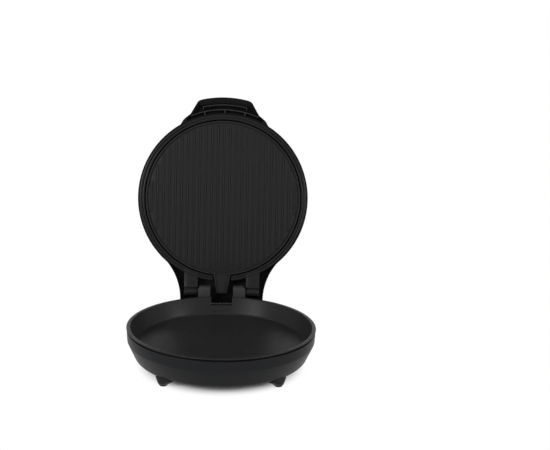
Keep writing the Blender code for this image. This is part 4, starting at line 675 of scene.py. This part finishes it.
def bars(half_width, low, high):
    """The ribs' round-ended bars in one shape, each as long as the plate's circle allows."""
    whole = bmesh.new()
    for number in range(-RIBS_EACH_SIDE, RIBS_EACH_SIDE + 1):
        across = number * RIB_PITCH
        end = math.sqrt(RIB_END_RADIUS ** 2 - across ** 2) - RIB_WIDTH / 2
        outline = arc(across, end, half_width, 0, 180, 8) + arc(across, -end, half_width, 180, 360, 8)
        bar = prism(outline, low, high)
        mesh = bpy.data.meshes.new("bar")
        bar.to_mesh(mesh)
        bar.free()
        whole.from_mesh(mesh)
        bpy.data.meshes.remove(mesh)
    return whole


troughs = bars(RIB_WIDTH / 2 + TROUGH_WIDTH, PLATE_FACE - CUT, PLATE_FACE + TROUGH_DEPTH)
merge(plate, solid(troughs, "troughs", in_lid), "DIFFERENCE")
ribs = bars(RIB_WIDTH / 2, PLATE_FACE - RIB_HEIGHT, PLATE_FACE + RIB_ROOT)
soften(ribs, RIB_ROUNDING, 4, lambda spot: spot.z < PLATE_FACE)
merge(plate, solid(ribs, "ribs", in_lid))

tongue = prism(TONGUE_PLAN, PLATE_RIM_FACE - TONGUE_RISE, TONGUE_BACK)
soften(tongue, TONGUE_EDGE, 3, lambda spot: spot.z < FACE)
channel = prism(CHANNEL_PLAN, PLATE_RIM_FACE - TONGUE_RISE - CUT, CHANNEL_FLOOR)
tongue = solid(tongue, "tongue", about_hinge)
merge(tongue, solid(channel, "channel", about_hinge), "DIFFERENCE")
merge(plate, tongue)
fit(plate, "lid", "nonstick_coating", coating, "upper_plate")


# Lid shell. The outer moulding of the lid, in one piece of black polypropylene: a shallow crown, a
# neck with hollow flanks that reaches down to the hinge, and the handle at the front.
LID_RADIUS = 0.165
LID_WALL = 0.0022
CROWN = FACE + 0.041
CROWN_STEPS = 12
SHOULDER = FACE + 0.036
SHOULDER_RADIUS = 0.143
SHOULDER_ROUNDING = 0.0045
BAND_TOP = FACE + 0.020
BAND_TOP_RADIUS = 0.1638
BAND_TOP_ROUNDING = 0.0035
BAND_FLARE_END = RING_TOP + 0.0003
TRIM_SIDES = (0.2, 0.21)
NECK_HALF_WIDTH = 0.0803
NECK_ROOT_HALF_WIDTH = 0.090
NECK_END = 0.021
NECK_END_RISE = 0.007
NECK_RUN = 0.078
NECK_TOP = 0.040
NECK_CROSS_REACH = 0.204
NECK_EDGE = 0.003
FLANK_RADIUS = 0.114
FLANK_CENTRE = 0.015
FLANK_END = 224
POST_SLOT_SIDES = (0.0210, 0.0470)
POST_SLOT_START = 0.0105
POST_SLOT_TOP = 0.012
LENS_HOLE_RADIUS = 0.0043
LENS_HOLE_START = SHOULDER - 0.008
LENS_PLACES = {"power": (-0.011, -0.118), "ready": (0.011, -0.118)}
SHARP = 50

HANDLE_REACH = 0.1957
HANDLE_EDGE = FACE + 0.0006
HANDLE_TOP = FACE + 0.0195
HANDLE_FRONT = (HANDLE_REACH - 0.0015, HANDLE_TOP - 0.005)
HANDLE_FRONT_ROUNDING = 0.004
HANDLE_CORNER_ROUNDING = 0.0045
HANDLE_SHOULDER_ROUNDING = 0.003
HANDLE_EDGE_ROUNDING = 0.0012
HOLLOW_SHOULDER = HANDLE_EDGE + 0.0055
HOLLOW_OVERRUN = 0.0003
POCKET_TOP = HANDLE_TOP - 0.0050 - 0.0025

# Plans of the handle and of its hollow: the root and the shoulder as a radius and an angle from the
# front, the waist and the corner as half a width and a reach, and the reach of the curved front.
HANDLE_PLAN = ((0.1570, 37), (0.1710, 27.8), (0.0665, 0.1622), (0.0515, 0.1885), HANDLE_REACH)
HOLLOW_RIM_PLAN = ((0.16295, 26.5), (0.1716, 25.8), (0.0639, 0.16285), (0.0502, 0.1872), 0.1950)
HOLLOW_PLAN = ((0.1638, 25.5), (0.1716, 25.5), (0.0605, 0.1640), (0.0470, 0.1790), 0.1836)

# Share of the angle to a plan's corner that its curved front covers.
FRONT_SPAN = 0.8

# Deeper black than the housing, and matt: a painted shade, so that the handle's hollow and the neck stay
# dark.
lid_plastic_painted_shade = moulded_black("moulded_polypropylene_lid_shell", "#0e0e0f", "#151516", 0.42, 0.06)


def crown_height(radius):
    """Outside of the lid's crown at a distance from the lid's axis."""
    return CROWN - (CROWN - SHOULDER) * (radius / SHOULDER_RADIUS) ** 2


def dome(inset, low):
    """The round lid's outside, or its inside one wall in."""
    edge = SHOULDER_RADIUS - inset
    crown = [(edge * step / CROWN_STEPS, crown_height(edge * step / CROWN_STEPS) - inset)
             for step in range(CROWN_STEPS)]
    shape = spun(crown + [
        (edge, SHOULDER - inset), (BAND_TOP_RADIUS - inset, BAND_TOP - inset / 2),
        (LID_RADIUS - inset, BAND_FLARE_END), (LID_RADIUS - inset, low), (0, low)])
    soften(shape, SHOULDER_ROUNDING, 6, on_ring(edge, SHOULDER - inset))
    soften(shape, BAND_TOP_ROUNDING, 6, on_ring(BAND_TOP_RADIUS - inset, BAND_TOP - inset / 2))
    return shape


def neck(inset, low):
    """The neck: its plan with hollow flanks, cut to its side view with a round end."""
    flank = arc(NECK_HALF_WIDTH + FLANK_RADIUS, FLANK_CENTRE, FLANK_RADIUS + inset, 180, FLANK_END, 24)
    right = [(NECK_HALF_WIDTH - inset, NECK_END + CUT)] + flank + [(NECK_ROOT_HALF_WIDTH, -NECK_RUN)]
    outline = right + [(-x, y) for x, y in reversed(right)]
    plan = solid(prism(outline, low, NECK_TOP), "neck", about_hinge)
    radius = NECK_END - inset
    end = arc(0, 0, radius, math.degrees(math.asin(low / radius)), 90, 20)
    far = -NECK_RUN - CUT
    outline = [(far, low)] + end + [(far, radius + NECK_END_RISE)]
    side_view = prism(outline, -NECK_CROSS_REACH, NECK_CROSS_REACH, along_x=True)
    merge(plan, solid(side_view, "neck_side", about_hinge), "INTERSECT")
    return plan


def rounded_off(made, reach, segments, angle):
    """Rounds a solid's sharp edges, those past an angle in degrees."""
    step = made.modifiers.new("round", "BEVEL")
    step.width = reach
    step.segments = segments
    step.limit_method = "ANGLE"
    step.angle_limit = math.radians(angle)
    bpy.context.view_layer.update()
    seen = made.evaluated_get(bpy.context.evaluated_depsgraph_get())
    made.data = bpy.data.meshes.new_from_object(seen)
    made.modifiers.clear()


def from_front(radius, degrees):
    """A point in the lid's plan at an angle from the front."""
    turn = math.radians(degrees)
    return radius * math.sin(turn), -radius * math.cos(turn)


def grip(root, shoulder, waist, corner, reach):
    """The handle's plan: a root along the lid's wall, then a tapered grip with a curved front."""
    right = [from_front(*root), from_front(*shoulder), (waist[0], -waist[1]), (corner[0], -corner[1])]
    half = FRONT_SPAN * math.degrees(math.asin(corner[0] / reach))
    front = arc(0, 0, reach, half - 90, -half - 90, 24)
    back = arc(0, 0, root[0], -root[1] - 90, root[1] - 90, 24)[1:-1]
    return right + front + [(-x, y) for x, y in reversed(right)] + back


def upright_at(*places):
    """A test for the upright edges at some places of a plan and their mirror images."""
    return lambda spot: any(math.hypot(abs(spot.x) - x, spot.y - y) < 2 * NEAR for x, y in places)


shell = solid(dome(0, FACE - CUT / 2), "lid_shell_moulding", in_lid)
outer_neck = neck(0, FACE - CUT)
rounded_off(outer_neck, NECK_EDGE, 5, SHARP)
merge(shell, outer_neck)
below = block((-TRIM_SIDES[0], -TRIM_SIDES[0], FACE - 3 * CUT), (TRIM_SIDES[0], TRIM_SIDES[1], FACE))
merge(shell, solid(below, "below", in_lid), "DIFFERENCE")

plan = prism(grip(*HANDLE_PLAN), HANDLE_EDGE - CUT, HANDLE_TOP + CUT)
soften(plan, HANDLE_CORNER_ROUNDING, 8, upright_at((HANDLE_PLAN[3][0], -HANDLE_PLAN[3][1])))
soften(plan, HANDLE_SHOULDER_ROUNDING, 4, upright_at(from_front(*HANDLE_PLAN[1])))
handle = solid(plan, "handle", in_lid)
side_view = spun([(0, HANDLE_TOP), (LID_RADIUS, HANDLE_TOP), HANDLE_FRONT,
                  (HANDLE_REACH, HANDLE_EDGE), (0, HANDLE_EDGE)])
soften(side_view, HANDLE_FRONT_ROUNDING, 6, on_ring(*HANDLE_FRONT))
merge(handle, solid(side_view, "handle_side", in_lid), "INTERSECT")
rounded_off(handle, HANDLE_EDGE_ROUNDING, 3, SHARP)
merge(shell, handle)

for side in (-1, 1):
    low, high = sorted((side * POST_SLOT_SIDES[0], side * POST_SLOT_SIDES[1]))
    slot = block((low, POST_SLOT_START, FACE - CUT), (high, NECK_END + CUT, POST_SLOT_TOP))
    merge(shell, solid(slot, "post_slot", about_hinge), "DIFFERENCE")
inside = solid(dome(LID_WALL, FACE - 2 * CUT), "lid_room", in_lid)
merge(inside, neck(LID_WALL, FACE - 3 * CUT / 2))
merge(shell, inside, "DIFFERENCE")

pocket = grip(*HOLLOW_PLAN)
rim = grip(*HOLLOW_RIM_PLAN)
hollow = bmesh.new()
loops = []
levels = ((rim, HANDLE_EDGE - HOLLOW_OVERRUN), (pocket, HOLLOW_SHOULDER), (pocket, POCKET_TOP))
for outline, height in levels:
    corners = [hollow.verts.new((x, y, height)) for x, y in outline]
    loops.append([hollow.edges.new(pair) for pair in zip(corners, corners[1:] + corners[:1])])
for below, above in zip(loops, loops[1:]):
    bmesh.ops.bridge_loops(hollow, edges=below + above)
bmesh.ops.holes_fill(hollow, edges=hollow.edges, sides=0)
bmesh.ops.recalc_face_normals(hollow, faces=hollow.faces)
merge(shell, solid(hollow, "handle_hollow", in_lid), "DIFFERENCE")

for x, y in LENS_PLACES.values():
    hole = rod(LENS_HOLE_RADIUS, LENS_HOLE_START, CROWN + CUT)
    bmesh.ops.translate(hole, verts=hole.verts, vec=(x, y, 0))
    merge(shell, solid(hole, "lens_hole", in_lid), "DIFFERENCE")
fit(shell, "lid", "black_plastic", lid_plastic_painted_shade, "lid_shell")


# Handle liner. A separate inner moulding that closes the handle's hollow: a floor with two curved
# walls and three short ribs, held by two screws.
LINER_TOP = POCKET_TOP - 0.0003
LINER_FLOOR = LINER_TOP - 0.0016
WALL_EDGE = FACE + 0.0010
WALL_ROUNDING = 0.0004
NEAR_WALL_RADII = (0.1709, 0.1725)
NEAR_WALL_TURN = 22.5
FAR_WALL_RADII = (0.1804, 0.1820)
FAR_WALL_HALF_WIDTH = 0.0430
WALL_END_SIDES = (0.0414, 0.0427)
WALL_END_REACH = (-0.1768, -0.1715)
WALL_RIB_RADII = (0.1642, 0.1716)
WALL_RIB_TURNS = (-13.4, 0, 13.4)
WALL_RIB_HALF_TURN = 0.3
GRIP_SCREW = (0.022, -0.17543)
GRIP_SCREW_GAP = 0.0003
GRIP_SCREW_BITE = 0.0025
PLATE_SCREW_CIRCLE = 0.105
PLATE_SCREW_SEAT = PLATE_BACK + 0.0153
PLATE_SCREW_LENGTH = 0.0141
FLOOR_PLAN = ((0.1656, 25.4), (0.1713, 25.4), (0.0552, 0.16535), (0.0437, 0.17802), 0.1833)

# How far the walls' ends and ribs stop short of the walls' edge and of the floor.
WALL_END_GAPS = (0.0001, 0.0002)
WALL_RIB_GAPS = (0.0006, 0.0003)

# The floor lies deep in the hollow and is dead matt, in a near-black copy of the liner's plastic: a
# painted shade. The walls are a lighter copy of it, a painted highlight, and smoother, so their edges
# shine.
liner_plastic_painted_shade = moulded_black("moulded_polypropylene_liner_floor_painted_shade", "#060606", "#0a0a0a", 0.60, 0.05)
wall_plastic_painted_highlight = moulded_black("moulded_polypropylene_liner_walls_painted_highlight", "#29292a", "#323233", 0.36, 0.20)


def sector(inner, outer, start, end, steps):
    """Part of a ring in plan, between two angles from the front."""
    return arc(0, 0, outer, start - 90, end - 90, steps) + arc(0, 0, inner, end - 90, start - 90, steps)


liner = solid(prism(grip(*FLOOR_PLAN), LINER_FLOOR, LINER_TOP), "handle_liner_floor", in_lid)
fit(liner, "lid", "black_plastic_inner", liner_plastic_painted_shade, "handle_liner")

near_wall = prism(sector(*NEAR_WALL_RADII, -NEAR_WALL_TURN, NEAR_WALL_TURN, 32), WALL_EDGE, LINER_FLOOR)
soften(near_wall, WALL_ROUNDING, 3, lambda spot: spot.z < WALL_EDGE + NEAR)
walls = solid(near_wall, "handle_liner_walls", in_lid)
far_turn = math.degrees(math.asin(FAR_WALL_HALF_WIDTH / FAR_WALL_RADII[1]))
far_wall = prism(sector(*FAR_WALL_RADII, -far_turn, far_turn, 24), WALL_EDGE, LINER_FLOOR)
soften(far_wall, WALL_ROUNDING, 3, lambda spot: spot.z < WALL_EDGE + NEAR)
merge(walls, solid(far_wall, "far_wall", in_lid))
for side in (-1, 1):
    low, high = sorted((side * WALL_END_SIDES[0], side * WALL_END_SIDES[1]))
    end = block((low, WALL_END_REACH[0], WALL_EDGE + WALL_END_GAPS[0]),
                (high, WALL_END_REACH[1], LINER_FLOOR - WALL_END_GAPS[1]))
    merge(walls, solid(end, "end", in_lid))
for turn in WALL_RIB_TURNS:
    outline = sector(*WALL_RIB_RADII, turn - WALL_RIB_HALF_TURN, turn + WALL_RIB_HALF_TURN, 2)
    rib = prism(outline, WALL_EDGE + WALL_RIB_GAPS[0], LINER_FLOOR - WALL_RIB_GAPS[1])
    merge(walls, solid(rib, "rib", in_lid))
fit(walls, "lid", "black_plastic_inner", wall_plastic_painted_highlight, "handle_liner")

for side, name in ((-1, "left"), (1, "right")):
    seat = Matrix.Translation((side * GRIP_SCREW[0], GRIP_SCREW[1], LINER_FLOOR - GRIP_SCREW_GAP))
    length = POCKET_TOP + GRIP_SCREW_BITE - GRIP_SCREW_GAP - LINER_FLOOR
    screw(f"handle_screw_{name}_black", length, in_lid @ seat, "lid", f"handle_screw_{name}", black_steel)
for number in range(1, 4):
    turn = math.radians(90 + 120 * (number - 1))
    seat = (in_lid @ Matrix.Translation((PLATE_SCREW_CIRCLE * math.cos(turn),
                                         PLATE_SCREW_CIRCLE * math.sin(turn), PLATE_SCREW_SEAT))
            @ Matrix.Rotation(math.pi, 4, "X"))
    screw(f"plate_screw_{number}_plated", PLATE_SCREW_LENGTH, seat, "lid", f"plate_screw_{number}")


# Indicator lenses. Two clear coloured polycarbonate caps that stand a little proud of the crown,
# with lamps behind them, on a moulded holder.
LENS_RADIUS = 0.0040
LENS_RISE = 0.0010
LENS_EDGE_DROP = 0.0003
LENS_ROUNDING = 0.0006
LENS_FLANGE_RADIUS = 0.0058
LENS_FLANGE_HEIGHT = 0.0015
LENS_SEAT_PLACE = (0.011, 0.1238)
LENS_SEAT_GAP = 0.0003
LENS_SIDES = 64
LENS_TONES = {"power": ("#8e120c", "#b51a12", "red_lens"), "ready": ("#14702a", "#1f8f3a", "green_lens")}

for name, (dark, light, slot) in LENS_TONES.items():
    # Polycarbonate is glossy, with a faint streak of colour where it flowed.
    lens_plastic = speckled(f"clear_polycarbonate_{name}", 0.10, 0.004, 2.0, dark, light, Coat_Weight=0.5)
    x, y = LENS_PLACES[name]
    top = crown_height(math.hypot(x, y)) + LENS_RISE
    seat = crown_height(math.hypot(*LENS_SEAT_PLACE)) - LID_WALL - LENS_SEAT_GAP
    lens = spun([(0, top), (LENS_RADIUS, top - LENS_EDGE_DROP), (LENS_RADIUS, seat),
                 (LENS_FLANGE_RADIUS, seat), (LENS_FLANGE_RADIUS, seat - LENS_FLANGE_HEIGHT),
                 (0, seat - LENS_FLANGE_HEIGHT)], LENS_SIDES)
    soften(lens, LENS_ROUNDING, 4, on_ring(LENS_RADIUS, top - LENS_EDGE_DROP))
    made = solid(lens, f"lens_{name}", in_lid @ Matrix.Translation((x, y, 0)))
    fit(made, "lid", slot, lens_plastic, f"indicator_lens_{name}")
# The holder takes the liner floor's near-black plastic, a painted shade.
keep("indicator_holder", liner_plastic_painted_shade)


# Studio. A pale floor that keeps the soft shadow close under the object and shows as white further
# out, a soft key lamp from the front left, a weaker one from the right and a faint one from above, and
# a camera where the photograph was taken from.
WHITE = "#ffffff"
FLOOR_RADIUS = 12
SHADOW_FADE = (0.112, 0.153)
SKY_LIGHT = 0.25
LAMPS = (("key_lamp", (-1.5, -1.5, 1.0), (0, 0, 0.15), 0.8, 30),
         ("fill_lamp", (1.9, -1.0, 0.7), (0, 0, 0.15), 0.8, 21),
         ("top_lamp", (0.0, 0.4, 2.2), (0, 0, 0.2), 1.2, 6))
CAMERA_PLACE = (-0.0120, -1.4824, 0.5885)
CAMERA_TURNS = (3.842, -12.81, 1.90)
CAMERA_SENSOR = 36
CAMERA_LENS = 58.25


def seen_directly(owner):
    """One for rays from the camera, a gloss or a clear piece, and nought for those that give light."""
    rays = add_node(owner, "ShaderNodeLightPath")
    seen = rays.outputs["Is Camera Ray"]
    for kind in ("Is Glossy Ray", "Is Transmission Ray"):
        either = add_node(owner, "ShaderNodeMath", {0: seen, 1: rays.outputs[kind]}, operation="MAXIMUM")
        seen = either.outputs[0]
    return seen


ground, shader, space = new_finish("white_sweep", 0.9, Specular_IOR_Level=0.1)
shader.inputs["Base Color"].default_value = from_hex("#f4f4f4")
glow = add_node(ground, "ShaderNodeEmission", {"Color": from_hex(WHITE), "Strength": 1.0})
spot = add_node(ground, "ShaderNodeSeparateXYZ", {"Vector": space})
back_end = stand.translation.y + BRACKET_BACK - HOUSING_FOOT_RADIUS
spine = add_node(ground, "ShaderNodeClamp",
                 {"Value": spot.outputs["Y"], "Min": stand.translation.y, "Max": back_end})
behind = add_node(ground, "ShaderNodeMath", {0: spot.outputs["Y"], 1: spine.outputs["Result"]},
                  operation="SUBTRACT")
from_spine = add_node(ground, "ShaderNodeCombineXYZ", {"X": spot.outputs["X"], "Y": behind.outputs[0]})
distance = add_node(ground, "ShaderNodeVectorMath", {0: from_spine.outputs["Vector"]}, operation="LENGTH")
fade = add_node(ground, "ShaderNodeMapRange",
                {"Value": distance.outputs["Value"],
                 "From Min": SHADOW_FADE[0], "From Max": SHADOW_FADE[1]},
                interpolation_type="SMOOTHSTEP")
share = add_node(ground, "ShaderNodeMath", {0: fade.outputs["Result"], 1: seen_directly(ground)},
                 operation="MULTIPLY")
mix = add_node(ground, "ShaderNodeMixShader",
               {"Fac": share.outputs[0], 1: shader.outputs["BSDF"], 2: glow.outputs["Emission"]})
output = ground.node_tree.nodes["Material Output"]
ground.node_tree.links.new(mix.outputs["Shader"], output.inputs["Surface"])
floor_shape = bmesh.new()
bmesh.ops.create_circle(floor_shape, cap_ends=True, segments=96, radius=FLOOR_RADIUS)
floor = solid(floor_shape, "floor", Matrix.Identity(4))
floor.data.materials.append(ground)

world = bpy.data.worlds.new("white_studio")
bpy.context.scene.world = world
world.use_nodes = True
sky = world.node_tree.nodes["Background"]
sky.inputs["Color"].default_value = from_hex(WHITE)
level = add_node(world, "ShaderNodeMapRange",
                 {"Value": seen_directly(world), "To Min": SKY_LIGHT, "To Max": 1.0})
world.node_tree.links.new(level.outputs["Result"], sky.inputs["Strength"])

for name, place, aim, size, power in LAMPS:
    light = bpy.data.lights.new(name, "AREA")
    light.size = size
    light.energy = power
    made = bpy.data.objects.new(name, light)
    made.location = place
    made.rotation_euler = (Vector(aim) - Vector(place)).to_track_quat("-Z", "Y").to_euler()
    bpy.context.scene.collection.objects.link(made)

yaw, pitch, roll = (math.radians(angle) for angle in CAMERA_TURNS)
ahead = Vector((math.sin(yaw) * math.cos(pitch), math.cos(yaw) * math.cos(pitch), math.sin(pitch)))
level_right = Vector((math.cos(yaw), -math.sin(yaw), 0))
level_up = level_right.cross(ahead)
right = level_right * math.cos(roll) + level_up * math.sin(roll)
up = level_up * math.cos(roll) - level_right * math.sin(roll)
lens_data = bpy.data.cameras.new("camera")
lens_data.sensor_width = CAMERA_SENSOR
lens_data.lens = CAMERA_LENS
camera = bpy.data.objects.new("camera", lens_data)
bpy.context.scene.collection.objects.link(camera)
turn = Matrix((right, up, -ahead)).transposed().to_4x4()
camera.matrix_world = stand @ Matrix.Translation(CAMERA_PLACE) @ turn
bpy.context.scene.camera = camera
bpy.context.scene.view_settings.view_transform = "Standard"
